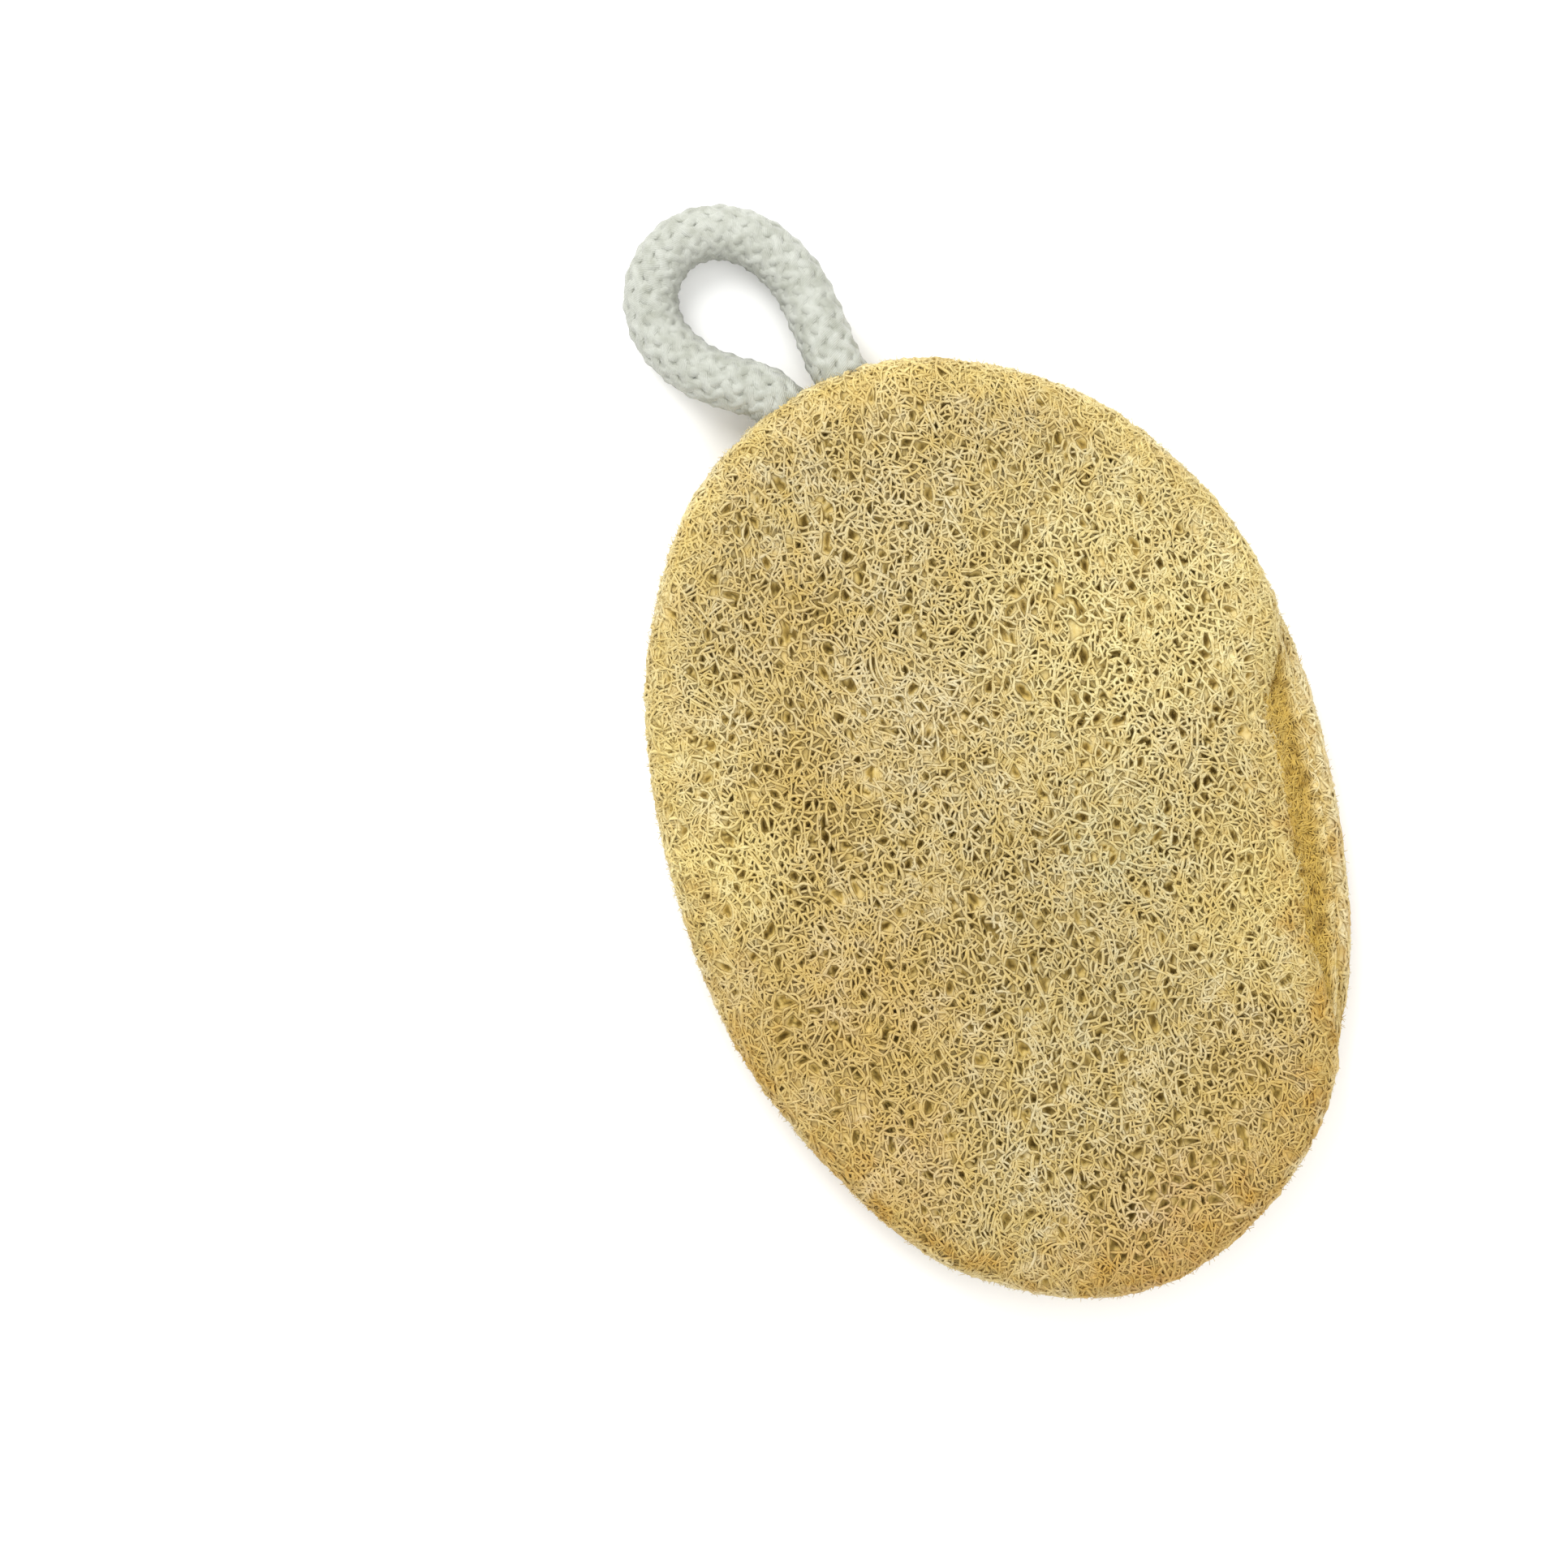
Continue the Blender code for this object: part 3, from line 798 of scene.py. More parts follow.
@dataclass(frozen=True)
class GrooveMat:
    """The matted fibre that fills the groove between the front rim and the lip, in millimetres."""

    section: tuple[tuple[float, float], ...] = (
        (9.6, 6.2), (7.7, 5.6), (6.4, 4.5), (5.1, 3.6), (3.8, 3.1), (2.5, 2.8), (1.5, 1.6))  # fmt: skip
    tucked: float = 1.6
    thickness: float = 0.9
    columns: int = 240
    rows: int = 20
    relief: tuple[float, float, float] = (0.4, 1.5, 9.4)  # height, pitch and seed
    # the amber of the mat, partly stain and partly painted shade of the groove, rises and falls at these
    # shares
    stained: tuple[float, ...] = (-0.05, 0.2, 0.55, 0.9)  # the shares of its width where this changes
    felt_tone: float = 0.6
    # how much deeper the felt counts than the fibres, so that the painted depth shade darkens it under them
    felt_depth: float = 0.22
    size: tuple[float, float] = (76.0, 9.5)
    count: int = 1500
    points: tuple[int, int] = (3, 7)
    radius: tuple[float, float] = (0.19, 0.29)
    heading: tuple[float, float, float] = (0.4, 0.8, 0.25)  # the mean, its spread and the turns
    rise: tuple[float, float, float] = (0.05, 0.3, 0.15)  # over the felt from, to, and unevenly
    step: float = 0.75
    seed: int = 81

    def places(self, form: PadForm, along: np.ndarray, across: np.ndarray) -> np.ndarray:
        """Places on the mat, in the part's frame.

        Args:
            form: The front layer's surface, which gives the outline and where the lip is.
            along: The place's share of the lip's length, from 0 to 1.
            across: Its share of the mat's width, from the front rim to the lip.

        Returns:
            Three numbers for each place.
        """
        start, end, fade = (math.radians(a) for a in form.lip_degrees)
        angle = end - fade / 2 + along * (start - end + fade)
        share = form.lip_share(angle)
        section = np.array(self.section)
        points = np.concatenate([section[:1], section, section[-1:]])
        t = np.clip(across, 0, 1) * (len(section) - 1)
        i = np.minimum(t.astype(int), len(section) - 2)
        inset, height = between(*(points[i + k] for k in range(4)), (t - i)[:, None]).T
        height = height * (0.6 + 0.4 * share)
        radius = form.outline_radius(angle) - inset * share - self.tucked * (1 - share)
        x, y = radius * np.cos(angle), radius * np.sin(angle)
        bump = self.relief[0] * field_noise(np.stack([x, y], axis=1), *self.relief[1:])
        return np.stack([x - form.middle[0], y - form.middle[1], form.parting + height + bump], axis=1)

    def values(self, across: np.ndarray, places: np.ndarray, tones: np.ndarray) -> dict[str, np.ndarray]:
        """What the material reads. The mat is most amber along its middle: partly stain, partly painted
        shade of the groove.

        Args:
            across: The place's share of the mat's width, from the front rim to the lip.
            places: Places in the part's frame.
            tones: How dull each place is.

        Returns:
            Numbers for the material by name, one for each place.
        """
        # a depth drawn from noise, not from the mat's shape, which the finish paints as patchy shade
        deep = 0.02 + 0.4 * np.clip(field_noise(places[:, :2], 1.6, 4.4) + 0.1, 0, 1)
        stain = smooth_step(*self.stained[:2], across) * (1 - smooth_step(*self.stained[2:], across))
        return {"depth": deep, "tone": tones, "edge": np.ones(len(places)), "stain": stain}

    def felt(self, form: PadForm) -> bpy.types.Object:
        """Lays the mat's body.

        Args:
            form: The front layer's surface, which gives the outline and where the lip is.

        Returns:
            A closed mesh: a grid laid in the groove and given a thickness.
        """
        made = grid(self.columns, self.rows, 1)
        along, across = (places_of(made)[:, :2] + 0.5).T
        places = self.places(form, along, 1 - across)
        made.data.vertices.foreach_set("co", (places * MM).ravel())
        face_outwards(made)
        if sum(face.normal.z for face in made.data.polygons) < 0:
            made.data.flip_normals()
        tones = np.full(len(places), self.felt_tone)
        for name, values in self.values(1 - across, places, tones).items():
            set_values(made, name, values + self.felt_depth * (name == "depth"))
        apply_modifier(made, "SOLIDIFY", thickness=self.thickness * MM, offset=-1.0)
        return made

    def fibres(self, form: PadForm, name: str) -> bpy.types.Object:
        """Lays the fibres over the mat, each a short wandering line.

        Args:
            form: The front layer's surface.
            name: The piece's name.

        Returns:
            The fibres as one mesh.
        """
        draw = np.random.default_rng(self.seed)
        lines, widths, radii, tones = [], [], [], []
        long, wide = self.size
        mean, spread, turn = self.heading
        low, high, uneven = self.rise
        for _ in range(self.count):
            length = draw.integers(*self.points)
            way = draw.normal(mean, spread) + math.pi * draw.integers(0, 2)
            turns = way + np.cumsum(draw.normal(0, turn, length))
            along = draw.uniform(0, 1) + np.cumsum(np.cos(turns)) * self.step / long
            across = draw.uniform(0, 0.95) + np.cumsum(np.sin(turns)) * self.step / wide
            inside = (along > 0) & (along < 1) & (across > 0) & (across < 1)
            if not inside.all():
                continue
            line = self.places(form, along, across)
            line[:, 2] += draw.uniform(low, high) + draw.uniform(-uneven, uneven, length)
            lines.append(line)
            widths.append(across)
            radii.append(draw.uniform(*self.radius) * draw.uniform(0.8, 1.1, length))
            tones.append(np.full(length, draw.uniform(0, 1)))
        values = self.values(np.concatenate(widths), np.concatenate(lines), np.concatenate(tones))
        return tubes(name, lines, radii, Section.THREE, values)


def ring_values(lines: list[np.ndarray], values: np.ndarray, sides: int) -> np.ndarray:
    """Spreads one value for each point of many lines over the vertices of their tubes.

    Args:
        lines: The lines, in order.
        values: One value for each of their points.
        sides: How many vertices a ring has.

    Returns:
        One value for each vertex: first the tubes' end caps, from the last tube back, each with
        its end before its start, and then every ring in order.
    """
    ends = np.cumsum([len(line) for line in lines])
    starts = ends - [len(line) for line in lines]
    caps = np.stack([ends - 1, starts], axis=1)[::-1].ravel()
    return np.concatenate([np.repeat(values[caps], sides), np.repeat(values, sides)])


def tubes(
    name: str,
    lines: list[np.ndarray],
    radii: list[np.ndarray],
    section: Section,
    values: dict[str, np.ndarray],
) -> bpy.types.Object:
    """Closed tubes along many lines, as one mesh: a curve with a bevel, converted and welded.

    Args:
        name: The piece's name.
        lines: Each tube's points, in millimetres.
        radii: The tube's radius at each of them, in millimetres.
        section: How many sides the tubes have.
        values: Numbers for the material by name, one for each point of the lines.

    Returns:
        The mesh object.
    """
    deselect()
    bpy.ops.mesh.primitive_circle_add(vertices=section.value, radius=MM)
    profile = bpy.context.object
    bpy.ops.object.convert(target="CURVE")
    curve = bpy.data.curves.new(name, "CURVE")
    curve.dimensions = "3D"
    curve.bevel_mode = "OBJECT"
    curve.bevel_object = profile
    curve.use_fill_caps = True
    for line, radius in zip(lines, radii):
        spline = curve.splines.new("POLY")
        spline.points.add(len(line) - 1)
        spots = np.ones((len(line), 4), np.float32)
        spots[:, :3] = line * MM
        spline.points.foreach_set("co", spots.ravel())
        spline.points.foreach_set("radius", np.asarray(radius, np.float32))
    made = bpy.data.objects.new(name, curve)
    bpy.context.collection.objects.link(made)
    pick(made)
    bpy.ops.object.convert(target="MESH")
    bpy.data.objects.remove(profile)
    for label, each in values.items():
        set_values(made, label, ring_values(lines, each, section.value))
    apply_modifier(made, "WELD", merge_threshold=WELD)
    face_outwards(made)
    return made


def set_values(thing: bpy.types.Object, name: str, values: np.ndarray) -> None:
    """Gives each vertex of a mesh a number that its material can read."""
    slot = thing.data.attributes.new(name, "FLOAT", "POINT")
    slot.data.foreach_set("value", values.astype(np.float32))


def set_node(node: bpy.types.Node, settings: Settings) -> None:
    """Gives a node its settings and links.

    Args:
        node: The node.
        settings: By name or number, the value of a property or an input, or the output socket
            that an input is linked to.
    """
    for name, value in settings.items():
        if isinstance(value, bpy.types.NodeSocket):
            node.id_data.links.new(value, node.inputs[name])
        elif isinstance(name, str) and hasattr(node, name):
            setattr(node, name, value)
        else:
            node.inputs[name].default_value = value


def add_node(tree: bpy.types.NodeTree, kind: str, settings: Settings, output: Key = 0) -> Socket:
    """Adds one node with its settings and links.

    Args:
        tree: The material's node tree.
        kind: Blender's name of the node's type, without its ShaderNode start.
        settings: Its settings and links, as in set_node.
        output: The name or number of the wanted output.

    Returns:
        That output socket.
    """
    node = tree.nodes.new("ShaderNode" + kind)
    set_node(node, settings)
    return node.outputs[output]


@dataclass(frozen=True)
class Pattern:
    """A noise that a finish goes by: its name, its features' size in millimetres and its detail.
    A seed of its own keeps a pattern out of step with the others."""

    name: str
    size: float
    detail: float = 2.0
    seed: float | None = None

    def value(self, tree: bpy.types.NodeTree, place: Socket) -> Socket:
        """Draws the pattern.

        Args:
            tree: The material's node tree.
            place: The output socket with each place of the mesh.

        Returns:
            The output socket with the pattern's value.
        """
        settings = {"Vector": place, "Scale": 1 / (self.size * MM), "Detail": self.detail}
        if self.seed is not None:
            settings |= {"noise_dimensions": "4D", "W": self.seed}
        return add_node(tree, "TexNoise", settings)


@dataclass(frozen=True)
class Tint:
    """A coat of colour: its share goes from 0 to most as a value of the finish goes from low to
    high, and is multiplied by other values."""

    value: str
    low: float
    high: float
    most: float
    colour: str
    times: tuple[str, ...] = ()

    def share(self, tree: bpy.types.NodeTree, values: dict[str, Socket]) -> Socket:
        """How much of the coat each place takes.

        Args:
            tree: The material's node tree.
            values: The finish's values by name.

        Returns:
            The output socket with the share.
        """
        share = add_node(
            tree, "MapRange", {0: values[self.value], 1: self.low, 2: self.high, 4: self.most}
        )
        for name in self.times:
            share = add_node(tree, "Math", {"operation": "MULTIPLY", 0: share, 1: values[name]})
        return share


@dataclass(frozen=True)
class Patch:
    """A soft patch of another colour on the pad, for the fibre's own colour drifts and for painted
    shade and light: where, how wide in mm, and how strong.
    """

    x: float
    y: float
    reach: float
    colour: str
    strength: float

    def share(self, tree: bpy.types.NodeTree, values: dict[str, Socket]) -> Socket:
        """How much of the patch's colour each place takes.

        Args:
            tree: The material's node tree.
            values: The finish's values by name.

        Returns:
            The output socket with the share.
        """
        spot = (self.x * MM, self.y * MM, 0)
        away = add_node(
            tree, "VectorMath", {"operation": "DISTANCE", 0: values["flat"], 1: spot}, "Value"
        )
        fade = {"interpolation_type": "SMOOTHSTEP", 2: self.reach * MM, 3: self.strength, 4: 0.0}
        return add_node(tree, "MapRange", {0: away, **fade})


@dataclass(frozen=True)
class Finish:
    """What every finish is made of: a ground colour, noise patterns, coats of colour, bumps (by
    which value, how strong, how high in mm) and the surface's inputs (a number or a value)."""

    name: str
    ground: str
    patterns: tuple[Pattern, ...] = ()
    tints: tuple[Tint, ...] = ()
    bumps: tuple[tuple[str, float, float], ...] = ()
    surface: tuple[tuple[str, float | str], ...] = ()

    def values(self, tree: bpy.types.NodeTree) -> dict[str, Socket]:
        """What the coats, the bumps and the surface's inputs go by.

        Args:
            tree: The material's node tree.

        Returns:
            Output sockets by name: the place, and each pattern.
        """
        place = add_node(tree, "TexCoord", {}, "Object")
        return {"place": place} | {each.name: each.value(tree, place) for each in self.patterns}

    def under(self, tree: bpy.types.NodeTree, values: dict[str, Socket]) -> Colour | Socket:
        """The colour under the coats."""
        return linear(self.ground)

    def coats(self) -> tuple[Tint | Patch, ...]:
        """The coats of colour, from the lowest."""
        return self.tints

    def make(self) -> bpy.types.Material:
        """Builds the material.

        Returns:
            The material.
        """
        material = bpy.data.materials.new(self.name)
        material.use_nodes = True
        tree = material.node_tree
        values = self.values(tree)
        colour = self.under(tree, values)
        for coat in self.coats():
            mix = {0: coat.share(tree, values), 6: colour, 7: linear(coat.colour)}
            colour = add_node(tree, "Mix", {"data_type": "RGBA", **mix}, 2)
        settings = {name: values.get(value, value) for name, value in self.surface}
        normal = {}
        for name, strength, height in self.bumps:
            bump = {"Strength": strength, "Distance": height * MM, "Height": values[name]}
            normal = {"Normal": add_node(tree, "Bump", bump | normal)}
        set_node(tree.nodes["Principled BSDF"], {"Base Color": colour, **settings, **normal})
        return material


@dataclass(frozen=True)
class DriedLoofah(Finish):
    """Dried loofah fibre, washed and sun-dried: matt straw strands with no gloss beyond a faint waxy
    sheen on the ridges. Deeper places are painted darker, to ochre and olive brown, as shade in
    the gaps and pores. Its material reads the mesh's attributes depth, tone and edge, and the
    share of the groove's amber."""

    ground: str = "#CBC19E"
    ochre: str = "#C1AC6E"
    khaki: str = "#C6AC64"
    bleached: str = "#DDD6BE"
    dull: str = "#AC9252"
    # painted shade for deeper places: the colour half-way down, and the colour in the pores
    painted_hollow_shade: str = "#C8AC5A"
    shade: str = "#7C6424"
    rim: str = "#E0CE86"
    worn: str = "#F0E7C2"
    dappled: str = "#B8903A"
    # amber: the groove beside the lip, partly its stain and partly painted shade; stained: darker specks in
    # it
    amber: str = "#BC9C42"
    stained: str = "#8A6A24"
    # the rolled rim and its dapples turn darker and browner towards the bottom of the pad
    foot: tuple[float, float, float] = (-30.0, 25.0, 0.15)  # from, to along the pad, and beyond it
    browned: float = 0.72  # how brown the rolled rim is at the foot
    patches: tuple[Patch, ...] = ()
    patterns: tuple[Pattern, ...] = (
        Pattern("mottle", 9.0, 3.0),  # broad drifts over the net
        Pattern("faded", 7.0, seed=3.0),  # where it bleached
        Pattern("grain", 2.2),  # tufts, one to two holes of the net wide
        Pattern("dapples", 5.0, seed=8.0),  # the rolled rim's brown dapples
        Pattern("flecks", 0.6),  # a strand's width
        Pattern("fibrils", 0.22),  # drawn coarser than real fibrils, which are too fine to show
    )
    rolled: Tint = Tint("edge", 0.4, 0.65, 0.7, rim)
    wear: Tint = Tint("edge", 0.65, 0.82, 0.6, worn)
    tints: tuple[Tint, ...] = (
        Tint("mottle", 0.35, 0.7, 0.5, ochre),
        Tint("faded", 0.5, 0.75, 0.32, bleached),
        Tint("grain", 0.4, 0.75, 0.6, khaki),
        Tint("dapples", 0.48, 0.66, 0.8, dappled, times=("band", "foot")),
        # the groove beside the lip: amber, partly stain and partly painted shade of the groove, with darker
        # specks
        Tint("stain", 0.0, 1.0, 0.9, amber),
        Tint("grain", 0.52, 0.66, 0.85, stained, times=("stain",)),
        Tint("flecks", 0.45, 0.7, 0.55, dull),
        # painted shade: darker the deeper a place lies, in the gaps and the pores
        Tint("depth", 0.12, 0.48, 0.8, painted_hollow_shade),
        Tint("depth", 0.38, 0.9, 1.0, shade),
    )
    bumps: tuple[tuple[str, float, float], ...] = (("flecks", 0.5, 0.25), ("fibrils", 0.35, 0.08))
    surface: tuple[tuple[str, float | str], ...] = (
        ("Roughness", "rough"), ("IOR", 1.47), ("Specular IOR Level", 0.3))  # fmt: skip

    def values(self, tree: bpy.types.NodeTree) -> dict[str, Socket]:
        """What the coats, the bumps and the surface's inputs go by.

        Args:
            tree: The material's node tree.

        Returns:
            Output sockets by name: the patterns, the mesh's attributes, the pad's foot (how near the
            bottom of the pad a place is), the rolled rim's band, the place seen from above, and the
            roughness.
        """
        values = super().values(tree)
        for name in ("depth", "tone", "edge", "stain"):
            values[name] = add_node(tree, "Attribute", {"attribute_name": name}, "Fac")
        along = add_node(tree, "SeparateXYZ", {0: values["place"]}, "Y")
        low, high, least = self.foot
        ramps = {
            "foot": {0: along, 1: low * MM, 2: high * MM, 3: 1.0, 4: least},
            "band": {0: values["edge"], 1: 0.25, 2: 0.45},
            "rough": {0: values["grain"], 1: 0.3, 2: 0.7, 3: 0.62, 4: 0.82},
        }
        values |= {name: add_node(tree, "MapRange", ramp) for name, ramp in ramps.items()}
        flatten = {"operation": "MULTIPLY", 0: values["place"], 1: (1, 1, 0)}
        values["flat"] = add_node(tree, "VectorMath", flatten)
        return values

    def under(self, tree: bpy.types.NodeTree, values: dict[str, Socket]) -> Colour | Socket:
        """The colour under the coats: straw to ochre inside, and another shade on the rolled rim.

        Args:
            tree: The material's node tree.
            values: The finish's values by name.

        Returns:
            The output socket with the colour.
        """
        brown = add_node(tree, "Math", {"operation": "MULTIPLY", 0: values["foot"], 1: self.browned})
        shades = (
            {0: values["tone"], 6: linear(self.ground), 7: linear(self.ochre)},
            {0: brown, 6: linear(self.rim), 7: linear(self.dappled)},
        )
        inner, outer = (add_node(tree, "Mix", {"data_type": "RGBA", **mix}, 2) for mix in shades)
        share = self.rolled.share(tree, values)
        return add_node(tree, "Mix", {"data_type": "RGBA", 0: share, 6: inner, 7: outer}, 2)

    def coats(self) -> tuple[Tint | Patch, ...]:
        """The coats of colour, from the lowest."""
        return (self.wear, *self.patches, *self.tints)


@dataclass(frozen=True)
class BraidedCotton(Finish):
    """Undyed cotton yarn, twisted and braided: off-white with a slight grey-green cast, fully
    matt and a little fuzzy, so its plaits read as soft bumps. Its material reads the map yarn."""

    name: str = "undyed_braided_cotton"
    ground: str = "#B5B7AE"
    patterns: tuple[Pattern, ...] = (Pattern("blotches", 2.2, 3.0),)  # a little under a plait's width
    tints: tuple[Tint, ...] = (Tint("blotches", 0.35, 0.7, 1.0, "#9B9D91"),)
    bumps: tuple[tuple[str, float, float], ...] = (("twist", 0.5, 0.12),)
    surface: tuple[tuple[str, float | str], ...] = (
        ("Roughness", 0.95), ("Sheen Weight", 0.25), ("Specular IOR Level", 0.2))  # fmt: skip

    def values(self, tree: bpy.types.NodeTree) -> dict[str, Socket]:
        """What the coats, the bumps and the surface's inputs go by.

        Args:
            tree: The material's node tree.

        Returns:
            Output sockets by name: the patterns, and the yarns' twist.
        """
        yarn = add_node(tree, "UVMap", {"uv_map": "yarn"})
        bands = {"wave_type": "BANDS", "bands_direction": "DIAGONAL", "Scale": 1.0, "Distortion": 1.2}
        return super().values(tree) | {"twist": add_node(tree, "TexWave", {"Vector": yarn, **bands}, 1)}


@dataclass(frozen=True)
class WaxedThread(Finish):
    """Waxed cotton thread, dyed to match the loofah: two twisted plies with a slight waxy gloss."""

    name: str = "waxed_cotton_thread"
    ground: str = "#CDB074"
    patterns: tuple[Pattern, ...] = (
        Pattern("wear", 2.6, 3.0),  # one twist of the plies
        Pattern("lint", 0.15),  # drawn coarser than real lint, which is too fine to show
    )
    tints: tuple[Tint, ...] = (Tint("wear", 0.35, 0.7, 1.0, "#A5864A"),)
    bumps: tuple[tuple[str, float, float], ...] = (("lint", 0.4, 0.05),)
    surface: tuple[tuple[str, float | str], ...] = (("Roughness", 0.6), ("Sheen Weight", 0.1))


def dress(piece: bpy.types.Object, material: bpy.types.Material, node: str) -> None:
    """Gives a piece its finish and its place in the part, and reports it.

    Args:
        piece: The finished mesh object.
        material: Its finish.
        node: The part's node that it replaces.
    """
    piece.data.materials.clear()
    piece.data.materials.append(material)
    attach(piece, BODY)
    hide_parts(node)
    LOG.info("%s: %d triangles", piece.name, triangles_of(piece))


@dataclass
class LoofahLayer:
    """One of the pad's two layers, in millimetres: a felt inside, the net's levels and loose
    fibres over it, and on the front layer the mat in the groove beside the lip."""

    name: str
    node: str
    form: PadForm
    levels: tuple[NetLevel, ...]
    pores: Pores
    loose: tuple[LooseLot, ...]
    fuzz: Fuzz
    felt_rows: int = 240
    felt_sink: tuple[float, float] = (0.2, 0.75)
    felt_relief: tuple[float, float, float] = (0.2, 1.9, 3.3)
    pore_depth: float = 1.2
    pore_slope: float = 0.7
    depth_range: float = 2.0
    edge_reach: float = 20.0
    lip_top: float = 7.5  # how far from the seam the lip's top is, along the surface
    lip_fade: float = 0.5  # how much sooner the edge's look ends there
    open_reach: tuple[float, float] = (4.0, 20.0)
    open_mean: float = 0.55
    drifts: tuple[tuple[float, float, float], ...] = ((0.5, 14.0, 6.6), (0.4, 4.5, 2.6), (0.6, 2.0, 7.2))
    mottle: tuple[float, float, float] = (0.9, 1.1, 8.1)
    # how far from the seam the groove's amber, partly painted shade, reaches and fades
    stain_and_shade_reach: tuple[float, float] = (2.0, 6.5)
    tuft: tuple[float, float, float] = (0.65, 2.6, 8.1)  # share, pitch and seed, as for all noises
    own_share: float = 0.55
    deeper_kept: float = 0.45  # how many of the pores go on through the deeper net
    off_floor: float = 1.02  # how high the fibres' middles stay over the floor, in radii
    fill: float = 0.5

    def felt(self) -> bpy.types.Object:
        """The layer's inside: matted fibre close under the net, with the pores sunk into it.

        Returns:
            A closed mesh: a grid turned into a disc, laid on the layer's form and closed below.
        """
        made = grid(self.felt_rows, self.felt_rows, 2)
        made.name = self.name + "_felt"
        x, y = places_of(made)[:, :2].T
        reach = np.maximum(np.abs(x), np.abs(y))
        turn = math.pi / 4 * np.minimum(np.abs(x), np.abs(y)) / np.maximum(reach, TINY)
        turn = np.where(np.abs(y) > np.abs(x), math.pi / 2 - turn, turn)
        ray = np.stack([np.cos(turn) * np.sign(x + TINY), np.sin(turn) * np.sign(y + TINY)], axis=1)
        flat = ray * (reach * (self.form.from_seam(ray) + 1))[:, None]
        height, pitch, seed = self.felt_relief
        sunk = smooth_step(0.0, self.pore_slope, self.pores.sunk(self.form, flat))
        dense, loose = self.felt_sink
        lift = height * field_noise(flat, pitch, seed) - self.pore_depth * sunk
        lift -= dense + (loose - dense) * self.openness(flat)
        made.data.vertices.foreach_set("co", (self.form.lifted(flat, lift) * MM).ravel())
        share, pitch, seed = self.mottle
        for name, values in self.values(flat, lift, 0.5 + share * field_noise(flat, pitch, seed)).items():
            set_values(made, name, values)
        face_outwards(made, capped=True)
        return made

    def values(self, flat: np.ndarray, lift: np.ndarray, own: np.ndarray) -> dict[str, np.ndarray]:
        """What the material reads.

        Args:
            flat: Places on the blank.
            lift: How far over the surface each one lies.
            own: The own tone of the fibre there.

        Returns:
            Numbers for the material by name, one for each place.
        """
        return {
            # how deep under the surface a place lies: the finish paints deeper places darker, as shade
            "depth": np.clip(-lift / self.depth_range, 0, 1),
            "tone": self.tone(flat, own),
            "edge": self.edge_share(flat),
            "stain": self.stain_and_shade_share(flat),
        }

    def openness(self, flat: np.ndarray) -> np.ndarray:
        """How open the mat is: closed on the rolled rim, and in broad and fine drifts inside.

        Args:
            flat: Places on the blank.

        Returns:
            For each place a share, from 0 where the mat is dense to 1 where it is loose.
        """
        inside = smooth_step(*self.open_reach, self.form.from_seam(flat))
        broad, middle, fine = (share * field_noise(flat, *pattern) for share, *pattern in self.drifts)
        return inside * np.clip(self.open_mean + (broad + middle) + fine, 0, 1)

    def tone(self, flat: np.ndarray, own: np.ndarray) -> np.ndarray:
        """How dull the mat is, by tufts and by each fibre's own tone.

        Args:
            flat: Places on the blank.
            own: The own tone of the fibre there.

        Returns:
            For each place a tone, from about 0 to 1.
        """
        share, pitch, seed = self.tuft
        return 0.5 + share * field_noise(flat, pitch, seed) + self.own_share * (own - 0.5)

    def edge_share(self, flat: np.ndarray) -> np.ndarray:
        """How near the pad's edge the mat is. The back layer's edge is the top of its lip.

        Args:
            flat: Places on the blank.

        Returns:
            For each place a share, from 1 on the edge to 0 far inside.
        """
        inwards = self.form.from_seam(flat)
        if self.form.side is Side.BACK:
            share = self.form.lip_share(np.arctan2(flat[:, 1], flat[:, 0]))
            inwards = np.abs(inwards - self.lip_top * share) * (1 + self.lip_fade * share)
        return np.clip(1 - inwards / self.edge_reach, 0, 1)

    def mat(self, name: str, fibres: Fibres) -> bpy.types.Object:
        """Turns fibres into one mesh with the values that the material reads.

        Args:
            name: The piece's name.
            fibres: The fibres that it holds.

        Returns:
            The mesh object.
        """
        flat, lift = np.concatenate(fibres.lines), np.concatenate(fibres.lifts)
        radius = np.concatenate(fibres.radii)
        places = self.form.lifted(flat, lift)
        places[:, 2] = np.maximum(places[:, 2], radius * self.off_floor)
        sizes = [len(line) for line in fibres.lines]
        values = self.values(flat, lift, np.repeat(fibres.tones, sizes))
        return tubes(name, np.split(places, np.cumsum(sizes)[:-1]), fibres.radii, Section.THREE, values)

    def stain_and_shade_share(self, flat: np.ndarray) -> np.ndarray:
        """How amber the mat is: in the groove beside the lip, partly a stain and partly painted shade of
        the groove.

        Args:
            flat: Places on the blank.

        Returns:
            For each place a share, from 1 near the seam under the lip to 0 away from it.
        """
        share = self.form.lip_share(np.arctan2(flat[:, 1], flat[:, 0]))
        return share * (1 - smooth_step(*self.stain_and_shade_reach, self.form.from_seam(flat)))

    def build(self, finish: DriedLoofah) -> list[bpy.types.Object]:
        """Builds and dresses the layer's pieces.

        Args:
            finish: The loofah's finish.

        Returns:
            The pieces.
        """
        material = finish.make()
        pieces = [self.felt()]
        for number, level in enumerate(self.levels):
            wells = self.pores if number == 0 else replace(self.pores, kept=self.deeper_kept)
            pieces.append(self.mat(f"{self.name}_net_{number + 1}", level.fibres(self.form, wells)))
        loose = self.fuzz.fibres(self.form)
        for lot in self.loose:
            loose.take(lot.fibres(self.form, self.pores))
        pieces.append(self.mat(self.name + "_loose_fibres", loose))
        if self.form.side is Side.FRONT:
            groove = GrooveMat()
            pieces += [groove.felt(self.form), groove.fibres(self.form, self.name + "_groove_fibres")]
            pieces[-2].name = self.name + "_groove_felt"
        for piece in pieces:
            pick(piece)
            bpy.ops.object.shade_smooth()
            dress(piece, material, self.node)
        return pieces


